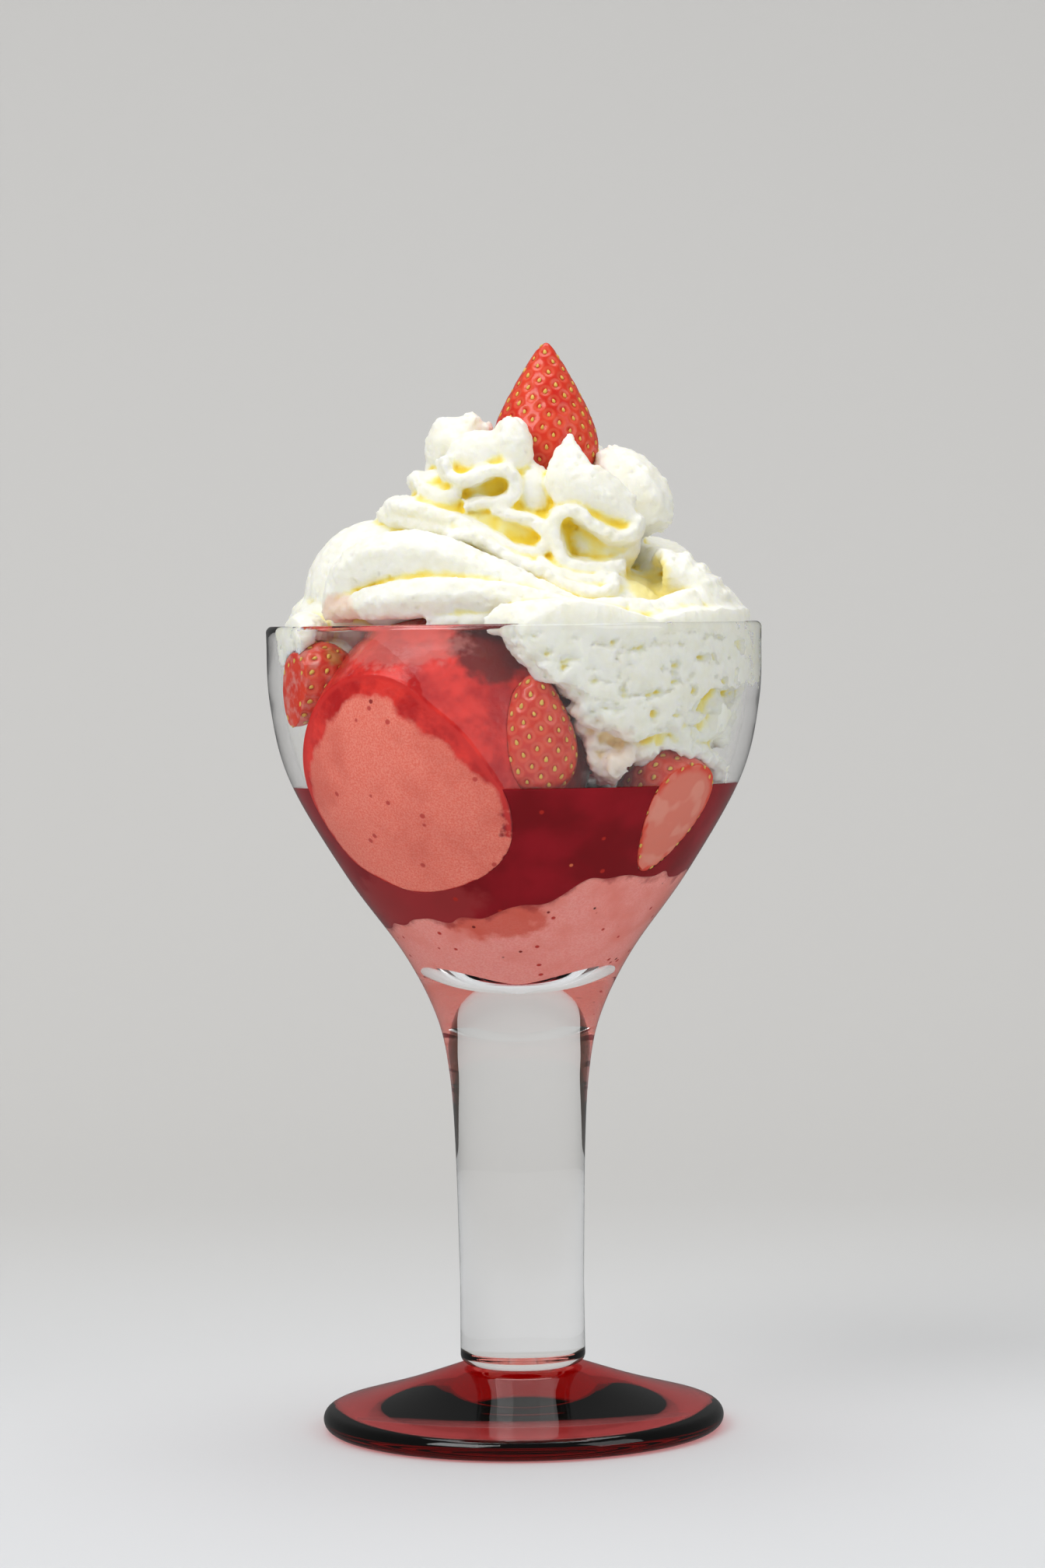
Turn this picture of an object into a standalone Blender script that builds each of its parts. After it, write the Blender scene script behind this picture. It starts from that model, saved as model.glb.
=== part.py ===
"""A strawberry sundae in a heavy goblet: clear bowl on a solid stem, fused to a ruby foot.

Row frame: metres, +Z up, origin at the centre of the foot's underside, the served side facing -Y.
Contents from the bottom up: a bed of strawberry ice cream, a pool of sauce, a scoop pressed
against the front of the bowl, three pieces of strawberry, piped cream and a strawberry on top.
"""

import math

import bmesh
import bpy
from mathutils import Vector

MM = 0.001
GAP = 0.3 * MM          # clearance between pieces that touch
WALL_GAP = 0.4 * MM     # the same, measured level, beside the sloping wall of the bowl
TURNS = 28              # sides of every turned piece of the glass

# Goblet and foot
RIM_HEIGHT = 165.8 * MM
BOWL_RADIUS = 50.9 * MM
LIP_THICKNESS = 2.5 * MM
BOWL_FLOOR = 93.2 * MM
STEM_RADIUS = 12.9 * MM
STEM_FOOT_Z = 13.1 * MM
FOOT_RADIUS = 41.4 * MM
FOOT_EDGE = 4.4 * MM
FOOT_SLOPE = 19.0         # degrees
FOOT_HOLLOW_RADIUS = 38.0 * MM
FOOT_HOLLOW_DEPTH = 5.3 * MM
FOOT_DISH = 0.35 * MM     # how far the sloping top sags between stem and edge
HEEL_ROUNDING = 2.0 * MM

# Contents
SAUCE_LEVEL = 132.6 * MM
BED_LEVEL = 110.8 * MM
BED_SLOPE = 0.19
BED_MOUND = 3.4 * MM
BED_MOUND_PLACE = Vector((14, -24)) * MM
BED_MOUND_SPREAD = 6.5 * MM
BED_RIPPLE = 1.6 * MM
SCOOP_RIPPLE = 0.9 * MM
SCOOP_RADIUS = 28 * MM
SCOOP_CENTRE = Vector((-12.8, -18.4, 140.4)) * MM
SCOOP_SHOULDER = 2.4 * MM                 # how far the scoop spreads where it leans on the bowl
SCOOP_SHOULDER_WAY = Vector((-0.53, -0.68, 0.5))
SCOOP_SHOULDER_SPREAD = 0.55              # about the sine of the angle that it fades over
CREAM_TOP_LIMIT = 214 * MM
WINDOW_SHIFT = 7 * MM    # the cream keeps out of the way between the front strawberry and the wall
CREAM_VOXEL = 0.8 * MM
CREAM_KEPT = 0.0189      # share of the remeshed faces that the cream keeps

# Strawberries, in millimetres: blunt rounds the tip, and tip is the way that it points
TOP_BERRY = {"length": 30, "width": 22.2, "blunt": 0.08, "place": (7.0, 1.5, 208.4), "tip": (0.02, 0, 1)}
FRONT_BERRY = {"length": 25, "width": 16.4, "blunt": 1.3, "place": (4, -38.2, 144), "tip": (0, -0.34, 0.94)}
RIGHT_BERRY = {"length": 29, "width": 19, "blunt": 0.3, "place": (26.8, -22.4, 127.6), "tip": (-0.5, 0.3, -0.8)}
LEFT_BERRY = {"length": 18, "width": 13.6, "blunt": 0.8, "place": (-39.6, -19.8, 153.6), "tip": (-0.5, 0.1, -0.8)}
BERRY_SHOULDER = 3       # the power that rounds a strawberry off at its stem end


def clear_scene():
    for left_over in list(bpy.data.objects):
        bpy.data.objects.remove(left_over, do_unlink=True)


def new_collection(name):
    made = bpy.data.collections.new(name)
    bpy.context.scene.collection.children.link(made)
    return made


def linear(channel):
    return channel / 12.92 if channel <= 0.04045 else ((channel + 0.055) / 1.055) ** 2.4


def finish(name, colour, roughness, see_through=0.0):
    """A Principled material from an sRGB hex colour."""
    made = bpy.data.materials.new(name)
    made.use_nodes = True
    shader = made.node_tree.nodes["Principled BSDF"]
    channels = [linear(int(colour[i : i + 2], 16) / 255) for i in (0, 2, 4)]
    shader.inputs["Base Color"].default_value = (*channels, 1)
    shader.inputs["Roughness"].default_value = roughness
    shader.inputs["Metallic"].default_value = 0.0
    shader.inputs["Transmission Weight"].default_value = see_through
    return made


def add(name, mesh, collection, material=None):
    made = bpy.data.objects.new(name, mesh)
    collection.objects.link(made)
    if material is not None:
        mesh.materials.append(material)
    return made


def as_cutter(helper):
    helper.hide_render = True
    helper.display_type = "WIRE"
    return helper


def through(points, per_span):
    """Points along a smooth Catmull-Rom curve that passes through every given point."""
    ends = [2 * points[0] - points[1], *points, 2 * points[-1] - points[-2]]
    found = []
    for a, b, c, d in zip(ends, ends[1:], ends[2:], ends[3:]):
        for step in range(per_span):
            t = step / per_span
            found.append(
                b + 0.5 * t * (c - a + t * (2 * a - 5 * b + 4 * c - d + t * (3 * (b - c) + d - a)))
            )
    return [*found, points[-1]]


def arc(centre, radius, start, end, steps):
    """Points (r, z) round an arc, with its angles in degrees from +r towards +z."""
    found = []
    for step in range(steps + 1):
        angle = math.radians(start + (end - start) * step / steps)
        found.append(Vector((centre[0] + radius * math.cos(angle), centre[1] + radius * math.sin(angle))))
    return found


def turned(name, outline, collection, material=None, turns=TURNS):
    """A solid of revolution. Its outline of (r, z) runs from axis to axis, down the outer side."""
    mesh = bpy.data.meshes.new(name)
    points = [(p[0], 0.0, p[1]) for p in outline]
    mesh.from_pydata(points, [(i, i + 1) for i in range(len(points) - 1)], [])
    made = add(name, mesh, collection, material)
    screw = made.modifiers.new("turn", "SCREW")
    screw.axis = "Z"
    screw.angle = 2 * math.pi
    screw.steps = screw.render_steps = turns
    screw.use_merge_vertices = True
    screw.merge_threshold = 1e-5
    return made


def combine(target, operation, *others):
    for other in others:
        step = target.modifiers.new(f"{operation.lower()} {other.name}", "BOOLEAN")
        step.operation = operation
        step.object = other
    return target


# The glass ------------------------------------------------------------------------------


def inner_wall():
    """The inside of the bowl from the axis up to the lip, as (r, z)."""
    floor = [Vector((r * MM, BOWL_FLOOR + rise * MM)) for r, rise in ((0, 0), (7.2, 1.4), (13.2, 4.8))]
    side = [
        Vector((r * MM, z * MM)) for r, z in ((21.0, 104.4), (32.0, 117), (41.6, 130.4), (46.8, 145))
    ]
    lip_root = Vector((BOWL_RADIUS - LIP_THICKNESS, RIM_HEIGHT - LIP_THICKNESS / 2))
    return through([*floor, *side, lip_root], 2)


def outer_wall():
    """The outside of the bowl and stem, from the lip down to the stem's lower end."""
    bowl = [
        Vector((r * MM, z * MM))
        for r, z in ((50.3, 150), (46.4, 134), (35.1, 114.4), (23.6, 98.4), (17.1, 85.6))
    ]
    stem = [
        Vector((STEM_RADIUS + bulge * MM, z * MM))
        for bulge, z in ((1.6, 74), (0.5, 58), (-0.1, 30))
    ]
    lip_root = Vector((BOWL_RADIUS, RIM_HEIGHT - LIP_THICKNESS / 2))
    return through([lip_root, *bowl, *stem], 2)


def make_goblet(collection, clear_glass):
    lip = arc((BOWL_RADIUS - LIP_THICKNESS / 2, RIM_HEIGHT - LIP_THICKNESS / 2), LIP_THICKNESS / 2, 180, 0, 5)
    heel = arc((STEM_RADIUS - HEEL_ROUNDING, STEM_FOOT_Z + HEEL_ROUNDING), HEEL_ROUNDING, 0, -90, 3)
    outline = [*inner_wall()[:-1], *lip, *outer_wall()[1:], *heel, Vector((0, STEM_FOOT_Z))]
    return turned("goblet", outline, collection, clear_glass)


def make_foot(collection, ruby_glass):
    top = STEM_FOOT_Z - GAP
    edge_radius = FOOT_EDGE / 2
    edge = arc((FOOT_RADIUS - edge_radius, edge_radius), edge_radius, 90 - FOOT_SLOPE, -90, 6)
    knee = Vector((STEM_RADIUS, top))
    middle = (knee + edge[0]) / 2 - Vector((0, FOOT_DISH))
    hollow = [
        Vector((FOOT_HOLLOW_RADIUS * share, FOOT_HOLLOW_DEPTH * (1 - share * share)))
        for share in (1, 0.75, 0.45, 0)
    ]
    outline = [Vector((0, top)), *through([knee, middle, edge[0]], 3), *edge[1:], *hollow]
    return turned("foot", outline, collection, ruby_glass)


def make_room(name, collection, top):
    """The space inside the bowl, kept clear of the wall, carried straight up to a given height."""
    wall = inner_wall()[1:]
    outline = [Vector((0, top)), Vector((BOWL_RADIUS - LIP_THICKNESS - WALL_GAP, top))]
    outline += [Vector((max(p[0] - WALL_GAP, 0), p[1] + GAP)) for p in reversed(wall)]
    outline.append(Vector((0, BOWL_FLOOR + GAP)))
    return as_cutter(turned(name, outline, collection))


# Ice cream and sauce --------------------------------------------------------------------


def ripple(x, y, size):
    """A gentle, repeatable unevenness for soft food: crossing waves, about size high in all."""
    long_waves = math.sin(x / (9 * MM) + y / (13 * MM)) + 0.6 * math.cos(y / (7 * MM) - x / (17 * MM))
    short_waves = math.sin(x / (4.1 * MM) + 1.3) * math.cos(y / (3.7 * MM))
    return size * (0.45 * long_waves + 0.25 * short_waves)


def bed_level(x, y):
    """The height of the bed, which climbs towards +X and has a mound at its front right."""
    away = (Vector((x, y)) - BED_MOUND_PLACE).length / BED_MOUND_SPREAD
    return BED_LEVEL + BED_SLOPE * x + BED_MOUND * math.exp(-away * away) + ripple(x, y, BED_RIPPLE)


def make_block(name, collection, level, cells=14):
    """A block wider than the bowl, whose top is at the height that level(x, y) gives."""
    half, bottom = 60 * MM, 80 * MM
    shape = bmesh.new()
    bmesh.ops.create_grid(shape, x_segments=cells, y_segments=cells, size=half)
    for point in shape.verts:
        point.co.z = level(point.co.x, point.co.y)
    bmesh.ops.triangulate(shape, faces=shape.faces[:])  # so that two blocks bend along the same lines
    below = bmesh.ops.extrude_face_region(shape, geom=shape.faces[:])["geom"]
    for point in (item for item in below if isinstance(item, bmesh.types.BMVert)):
        point.co.z = bottom
    bmesh.ops.recalc_face_normals(shape, faces=shape.faces[:])
    mesh = bpy.data.meshes.new(name)
    shape.to_mesh(mesh)
    shape.free()
    return as_cutter(add(name, mesh, collection))


def make_ball(name, collection, grow=0.0, material=None):
    """The scoop before it is pressed against the wall."""
    shape = bmesh.new()
    bmesh.ops.create_icosphere(shape, subdivisions=3, radius=1)
    for point in shape.verts:
        way = point.co.normalized()
        uneven = ripple(way.x * SCOOP_RADIUS, (way.y + way.z) * SCOOP_RADIUS, SCOOP_RIPPLE)
        away = (way - SCOOP_SHOULDER_WAY.normalized()).length / SCOOP_SHOULDER_SPREAD
        shoulder = SCOOP_SHOULDER * math.exp(-away * away)
        point.co = way * (SCOOP_RADIUS + uneven + shoulder + grow)
    mesh = bpy.data.meshes.new(name)
    shape.to_mesh(mesh)
    shape.free()
    ball = add(name, mesh, collection, material)
    ball.location = SCOOP_CENTRE
    return ball


# Strawberries ---------------------------------------------------------------------------


def berry_outline(share, blunt):
    """How wide a strawberry is at a share of its length from the tip: a cone with a rounded shoulder."""
    cone = math.sqrt(share * share + 2 * blunt * share)
    return cone * math.sqrt(max(1 - share**BERRY_SHOULDER, 0))


def make_berry(name, berry, collection, grow=0.0, material=None, turns=16, rings=9):
    """A conical strawberry, modelled with its stem end at +Z, then turned to point its tip."""
    length, width = berry["length"] * MM, berry["width"] * MM
    shares = [(1 + math.cos(math.pi * ring / rings)) / 2 for ring in range(rings + 1)]
    widths = [berry_outline(share, berry["blunt"]) for share in shares]
    outline = []
    for share, wide in zip(shares, widths):
        level = (share - 0.5) * (length + 2 * grow)
        outline.append(Vector((wide / max(widths) * (width / 2 + grow), level)))
    outline[0].x = outline[-1].x = 0
    made = turned(name, outline, collection, material, turns)
    made.location = Vector(berry["place"]) * MM
    made.rotation_euler = Vector((0, 0, -1)).rotation_difference(Vector(berry["tip"])).to_euler()
    return made


# Piped cream ----------------------------------------------------------------------------

# Stations of each piped rope are (x, y, z, radius) in millimetres, from one end to the other.
SMOOTH_ROPES = (
    # the wide roll that climbs from the left and sweeps down across the front
    ((-35.5, -20, 167.6, 3.4), (-33.8, -22, 172.4, 4.2), (-30.6, -24, 176.8, 5), (-24.5, -26.5, 179, 5.4),
     (-17, -28.5, 178.8, 5.5), (-9, -30, 176, 5.2), (-1, -31, 173, 4.8), (6, -31.5, 169.8, 4.2),
     (13, -31, 167.2, 3.8), (22, -28.5, 166, 4)),
    # the band that hangs just over the rim in front of it, and the ragged one behind its lower edge
    ((-36.4, -23, 168.6, 1.6), (-31.5, -27.5, 169.4, 2.6), (-25, -31, 170.6, 3.9), (-18, -33.6, 171, 4.2),
     (-10.5, -35.6, 171.6, 3.5), (-2, -37, 171, 3.1), (5, -37, 169.2, 3.5), (13, -36, 166.9, 3.8),
     (20, -34, 166.6, 4.4), (27, -30.5, 166, 4.6), (33, -25, 165.4, 4.8)),
    ((-17, -34, 166.6, 2.4), (-10, -35.5, 166.4, 2.2), (-3, -36, 166.2, 2.3), (5, -36, 165.4, 2.6)),
    # the ring round the back that the top ruffle sits on
    ((31, -11, 167, 3), (30, -6, 171, 5.6), (31, 4, 173, 8.4), (27, 17, 174.5, 10), (15, 28, 175, 11),
     (0, 32, 175, 11),
     (-16, 27, 174.5, 11), (-27, 15, 173.5, 10), (-29, 4, 171, 7.5), (-28, -4, 168, 4)),
    ((-17, 4, 186, 4), (-17, 10, 188, 6), (-12, 17, 188, 7), (0, 20, 188, 7.5), (13, 17, 187.5, 7),
     (21, 10, 187, 7), (24, 3, 185, 4.6)),
    # the petals that hold the strawberry: front right, right, left and two behind
    ((23, -14.5, 187, 4.6), (17.6, -15.5, 190.4, 6), (12.6, -15.4, 194, 6.2), (11.6, -14, 199, 3.7),
     (11.9, -12, 203.4, 0.9)),
    ((27, -3, 184, 6), (25, -2, 190, 8), (21.8, -1, 196, 6.6), (18.6, 0, 200.5, 3)),
    ((-13, 0, 190, 6), (-12.4, 1, 197, 5.8), (-11.6, 1, 202.6, 5.6)),
    ((-2, 16, 191, 6), (0, 14.5, 198, 6), (2.5, 13, 203.5, 4.6), (5, 11.5, 207.5, 1.4)),
    ((17, 14, 189, 6.4), (16, 12.5, 196, 6.4), (14, 11, 201.5, 4.4), (11.5, 9.5, 205.5, 1.4)),
    # the leaf in front of the right-hand ruffle
    ((26, -29, 165, 2.4), (31.5, -26.5, 168, 3.4), (37, -21, 169, 3.6), (41.5, -13, 167.6, 3.8)),
    # under the rim: the mass that is pressed along the glass from the front to the right
    ((-5.4, -42.4, 165.6, 1.8), (-1, -43, 166, 4.2), (6, -42.6, 163.6, 8), (12.8, -41.4, 161.4, 10),
     (19.4, -39, 158.4, 11),
     (25.2, -35.4, 156.6, 11.3), (31, -30.6, 159.4, 9.8), (36.8, -23.6, 160.6, 9), (41, -15, 160.6, 9),
     (43.2, -6, 160, 9), (42, 4, 157, 5)),
    ((13.6, -41.4, 152, 4.4), (19.4, -39.4, 148, 5.2), (25.6, -35.6, 147, 4.6), (31, -31, 148.6, 3.2)),
    # the strands that lie one below the other beside the wall at the right
    ((26, -36, 153.6, 1.6), (32.6, -31.2, 154, 1.5), (38.6, -23.6, 153.8, 1.5), (43.4, -12.6, 153.2, 1.5)),
    ((24.6, -37, 150, 1.6), (31.6, -32, 150.7, 1.4), (38, -24.4, 150.4, 1.4), (43, -13, 149.8, 1.5)),
    ((23.4, -37.4, 146.4, 1.7), (31, -32, 147.3, 1.4), (37.4, -24.6, 146.9, 1.4), (42.4, -13, 146.2, 1.5)),
    ((20.6, -38, 142.8, 1.5), (26.4, -35.2, 144.2, 1.5), (33, -29.6, 143.4, 1.5), (38.6, -21.4, 143.6, 1.5),
     (42, -12, 142.4, 1.7)),
    ((18.8, -38.4, 136.8, 1.4), (20, -38, 139.4, 1.6), (25.6, -35, 141, 1.6), (31.4, -30.6, 141.4, 1.5),
     (36.4, -25, 140, 1.5), (39.6, -18, 137.4, 1.7), (40.4, -13, 134.6, 2)),
    # and the two ends that droop beside the front strawberry
    ((13.6, -35, 147.6, 3.2), (15.2, -36.4, 143, 2.8), (17, -36.4, 138.8, 2.6), (18.4, -34, 135, 2.2)),
    ((20.6, -34.6, 146, 3), (20.2, -35.6, 142.4, 2.2), (19.6, -36, 139.6, 1.6)),
)
# The right-hand ruffle is a fan: each pleat runs from the fan's hinge to (x, z) on its torn edge.
FAN_HINGE = (31, -13, 169.6)
FAN_EDGE = ((32.6, 180.6), (36.4, 179.6), (39.6, 177.4), (42.4, 174.8), (44.6, 171.8), (46, 168.4))
FAN_RADIUS = 1.7         # mm
# Thin folds of the ruffle. Each is piped again behind itself, thicker every time.
FOLDS = (
    ((-13.4, -16, 199.6, 1.1), (-12.8, -17, 196.4, 1.3), (-10.4, -18, 194.8, 1.4), (-7.4, -18.5, 195.3, 1.4),
     (-4, -18.6, 196.4, 1.4), (-1, -18.5, 196.4, 1.4), (0.6, -18.5, 194.3, 1.3), (0.2, -18.5, 191.6, 1.3),
     (-2.4, -18.5, 190.2, 1.3), (-6, -18.5, 190.2, 1.2), (-9.4, -18, 189.6, 1)),
    ((-4, -19, 188.6, 0.9), (0, -20, 187.5, 1.2), (3.7, -20.6, 186.3, 1.3), (6.6, -21, 184.2, 1.4),
     (6.6, -21, 181.6, 1.4), (4.2, -21.5, 179.8, 1.4), (0.6, -22, 180.5, 1.4), (-2.6, -22, 182.2, 1.3),
     (-6.4, -21.6, 184.4, 1.3), (-11, -20.6, 186.4, 1.3), (-16.4, -18.6, 188.2, 1.4), (-21, -16, 189.6, 1.5),
     (-25, -12, 189.6, 1.4)),
    ((22.4, -21, 177.2, 1.2), (18.2, -22, 176.5, 1.4), (14, -22.6, 176.8, 1.4), (10.6, -22.5, 177.8, 1.4),
     (9.4, -22, 180, 1.4), (8.6, -21.6, 182.8, 1.4), (8.5, -21.5, 185.6, 1.4), (9.8, -21.5, 187.8, 1.4),
     (12.2, -21.5, 188.2, 1.4), (15, -21.5, 186.6, 1.4), (18, -21.5, 184.3, 1.4), (21, -20.6, 183, 1.5),
     (24, -19, 183.6, 1.5), (25.4, -17, 187, 1.4)),
    ((-13.4, -24, 183.4, 1.2), (-8.5, -24.6, 183.4, 1.3), (-4.6, -25, 181.4, 1.3), (-1, -25.6, 179, 1.4),
     (3.2, -26.4, 177, 1.4), (6.8, -27, 175.8, 1.3), (9.8, -27.4, 173.6, 1.3), (13.6, -27.4, 172.2, 1.3),
     (17.2, -27, 171.8, 1.3), (19.6, -26, 172.6, 1.3), (20.8, -24.4, 175, 1.1)),
    ((5, -23.6, 178.4, 1), (9.6, -25, 175.6, 1.2), (14.4, -25, 174.4, 1.2), (19, -24, 174.6, 1.1)),
    ((-20, -9, 196, 1.2), (-17.6, -12.4, 193, 1.4), (-14, -15, 191.6, 1.4), (-10.4, -16.6, 192.2, 1.1)),
    ((-26.4, -9, 188.4, 1.4), (-22, -14, 186.8, 1.4), (-17, -18, 185.2, 1.4), (-12, -20.4, 184.6, 1.2)),
)
FOLD_LAYERS = 4
FOLD_STEP = 1.7          # mm from one layer of a fold to the next
FOLD_SWELL = 0.28        # mm of radius that each layer adds
MASSES = (
    # centre and radii of the cream that carries the folds, in millimetres
    ((-27, -2, 171.5), (15.8, 17, 15.8)), ((1, 0, 168), (34, 31, 12)), ((2, 3, 186), (20, 16, 14)),
    ((-16, -19, 172), (17, 10, 9)), ((14, -17, 168), (16, 10, 8)), ((35, -8, 167), (12, 13, 8)),
    # the lobes of the ruffle's left side, stepping up to the top
    ((-22, -6, 187.6), (4.6, 7, 4.2)), ((-16, -5, 193), (4.4, 7, 4.4)), ((-11.4, -1, 202), (6.4, 6.6, 6.2)),
    ((-13.6, -2, 205.4), (2.8, 3, 2.6)), ((-8.6, -2, 206.2), (2.8, 3, 2.6)), ((-5.6, -1, 205), (2, 2.6, 2.2)),
    # the broad lobe above the first fold, and the cream under the others
    ((-6.4, -11, 199.4), (6.8, 5.6, 5.6)), ((0, -11, 200.6), (4.5, 5.6, 7.2)), ((3.8, -11, 191), (5, 6, 7.5)),
    ((-5, -10, 192.4), (8, 5, 6)), ((17, -11, 182), (9, 6, 8)), ((-2, -12.4, 184), (15, 7, 6)),
    ((-13.6, -11, 189.4), (6.4, 5, 5)),
    # under the rim
    ((23, -29, 146), (10, 8, 8)), ((34, -18, 148), (8, 10, 9)),
    ((4, 24, 152), (42, 26, 19)), ((26, 4, 150), (20, 34, 16)), ((22, -15, 146), (14, 15, 9)),
    ((-42, -17, 163), (5.2, 7.4, 5.6)), ((-30, 0, 167), (16, 18, 8)), ((-20, 8, 144), (20, 32, 24)),
)


def nozzle_mouth(name, collection, ribs, depth):
    """The mouth of a piping nozzle, one unit in radius, as a closed curve with shallow ribs."""
    curve = bpy.data.curves.new(name, "CURVE")
    curve.dimensions = "2D"
    spline = curve.splines.new("POLY")
    corners = ribs * 4
    spline.points.add(corners - 1)
    for i in range(corners):
        angle = 2 * math.pi * i / corners
        radius = 1 - depth / 2 + depth / 2 * math.cos(ribs * angle)
        spline.points[i].co = (radius * math.cos(angle), radius * math.sin(angle), 0, 1)
    spline.use_cyclic_u = True
    mouth = bpy.data.objects.new(name, curve)
    collection.objects.link(mouth)
    return as_cutter(mouth)


def pipe_rope(stations, mouth, collection, per_span=4, back=0.0, swell=0.0):
    """A rope of cream through its stations, as a mesh, moved back and thickened if asked."""
    track = through([Vector(station) * MM for station in stations], per_span)
    curve = bpy.data.curves.new("rope", "CURVE")
    curve.dimensions = "3D"
    curve.bevel_mode = "OBJECT"
    curve.bevel_object = mouth
    curve.use_fill_caps = True
    spline = curve.splines.new("POLY")
    spline.points.add(len(track) - 1)
    for point, station in zip(spline.points, track):
        point.co = (station[0], station[1] + back * MM, station[2], 1)
        point.radius = station[3] + swell * MM
    rope = bpy.data.objects.new("rope", curve)
    collection.objects.link(rope)
    bpy.context.view_layer.update()
    mesh = bpy.data.meshes.new_from_object(rope.evaluated_get(bpy.context.evaluated_depsgraph_get()))
    bpy.data.objects.remove(rope)
    return mesh


def lump(centre, radii):
    """A smooth egg-shaped mass of cream, as a mesh."""
    shape = bmesh.new()
    bmesh.ops.create_uvsphere(shape, u_segments=28, v_segments=18, radius=MM)
    bmesh.ops.scale(shape, verts=shape.verts[:], vec=radii)
    bmesh.ops.translate(shape, verts=shape.verts[:], vec=Vector(centre) * MM)
    mesh = bpy.data.meshes.new("lump")
    shape.to_mesh(mesh)
    shape.free()
    return mesh


def pleat(x, z):
    """One pleat of the fan, from its hinge out over its edge at (x, z) and down behind."""
    hinge_x, hinge_y, hinge_z = FAN_HINGE
    middle = (0.45 * hinge_x + 0.55 * x, hinge_y - 7, 0.45 * hinge_z + 0.55 * z)
    r = FAN_RADIUS
    return ((hinge_x, hinge_y, hinge_z, 0.8 * r), (*middle, r), (x - r, hinge_y, z - r, 1.15 * r),
            (x - 2 * r, hinge_y + 12, z - 3 * r, 1.5 * r))


def cream_pieces(helpers):
    """Every rope, pleat, fold and mass of the cream, as loose meshes that overlap."""
    smooth = nozzle_mouth("smooth nozzle", helpers, 6, 0.08)
    ropes = (*SMOOTH_ROPES, *(pleat(x, z) for x, z in FAN_EDGE))
    pieces = [pipe_rope(rope, smooth, helpers) for rope in ropes]
    for fold in FOLDS:
        for layer in range(FOLD_LAYERS):
            pieces.append(pipe_rope(fold, smooth, helpers, 3, layer * FOLD_STEP, layer * FOLD_SWELL))
    return pieces + [lump(centre, radii) for centre, radii in MASSES]


def make_cream(collection, helpers, material):
    """The pieces of cream given one skin by a remesh, which is then thinned out."""
    shape = bmesh.new()
    for mesh in cream_pieces(helpers):
        shape.from_mesh(mesh)
    bmesh.ops.remove_doubles(shape, verts=shape.verts[:], dist=1e-6)
    joined = bpy.data.meshes.new("whipped_cream")
    shape.to_mesh(joined)
    shape.free()
    cream = add("whipped_cream", joined, collection, material)
    skin = cream.modifiers.new("one skin", "REMESH")
    skin.mode = "VOXEL"
    skin.voxel_size = CREAM_VOXEL
    skin.use_smooth_shade = True
    thin_out = cream.modifiers.new("thin out", "DECIMATE")
    thin_out.ratio = CREAM_KEPT
    return cream


def main():
    clear_scene()
    sundae = new_collection("strawberry sundae")
    helpers = new_collection("cutters")
    clear_glass = finish("clear glass", "EEF1EE", 0.02, see_through=1.0)
    ruby_glass = finish("ruby glass", "8E0A14", 0.03, see_through=1.0)
    ice_cream = finish("strawberry ice cream", "E0685C", 0.6)
    sauce_red = finish("strawberry sauce", "8A1018", 0.2)
    berry_red = finish("strawberry", "D92A22", 0.25)
    cream_white = finish("whipped cream", "FBFAEC", 0.5)

    make_goblet(sundae, clear_glass)
    make_foot(sundae, ruby_glass)

    room = make_room("room in the bowl", helpers, RIM_HEIGHT)
    berries = {
        "strawberry_front": FRONT_BERRY,
        "strawberry_right": RIGHT_BERRY,
        "strawberry_left": LEFT_BERRY,
    }
    for name, berry in berries.items():
        fruit = make_berry(name, berry, sundae, material=berry_red)
        combine(fruit, "INTERSECT", room)
    make_berry("strawberry_top", TOP_BERRY, sundae, material=berry_red)

    grown = {
        name: as_cutter(make_berry(f"{name} room", berry, helpers, grow=GAP))
        for name, berry in {**berries, "strawberry_top": TOP_BERRY}.items()
    }
    ball_room = as_cutter(make_ball("scoop room", helpers, grow=GAP))

    scoop = make_ball("ice_cream_scoop", sundae, material=ice_cream)
    combine(scoop, "INTERSECT", room)
    combine(scoop, "DIFFERENCE", *(grown[name] for name in berries))

    bed = make_block("ice_cream_bed", sundae, bed_level)
    bed.hide_render = False
    bed.data.materials.append(ice_cream)
    combine(bed, "INTERSECT", room)
    combine(bed, "DIFFERENCE", grown["strawberry_right"])

    bed_room = make_block("bed room", helpers, lambda x, y: bed_level(x, y) + GAP)
    sauce = make_block("sauce", sundae, lambda x, y: SAUCE_LEVEL)
    sauce.hide_render = False
    sauce.data.materials.append(sauce_red)
    combine(sauce, "INTERSECT", room)
    combine(sauce, "DIFFERENCE", bed_room, ball_room, *(grown[name] for name in berries))

    sauce_room = make_block("sauce room", helpers, lambda x, y: SAUCE_LEVEL + GAP)
    cream_room = make_room("room for cream", helpers, CREAM_TOP_LIMIT)
    cream = make_cream(sundae, helpers, cream_white)
    combine(cream, "INTERSECT", cream_room)
    window = as_cutter(make_berry("strawberry window", FRONT_BERRY, helpers, grow=GAP))
    window.location.y -= WINDOW_SHIFT
    combine(cream, "DIFFERENCE", sauce_room, ball_room, window, *grown.values())


main()
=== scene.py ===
# %% [markdown]
# # A strawberry sundae in a goblet
# The model holds a clear bowl on a solid stem, fused to a ruby foot, and what fills it: pink ice
# cream, red sauce, strawberries and piped cream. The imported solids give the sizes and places.
# Each step below builds the fine surface of one piece around its solid and gives it a finish.

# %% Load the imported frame
import math

import bmesh
import bpy
import numpy as np
from mathutils import Matrix, Vector, noise


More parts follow.
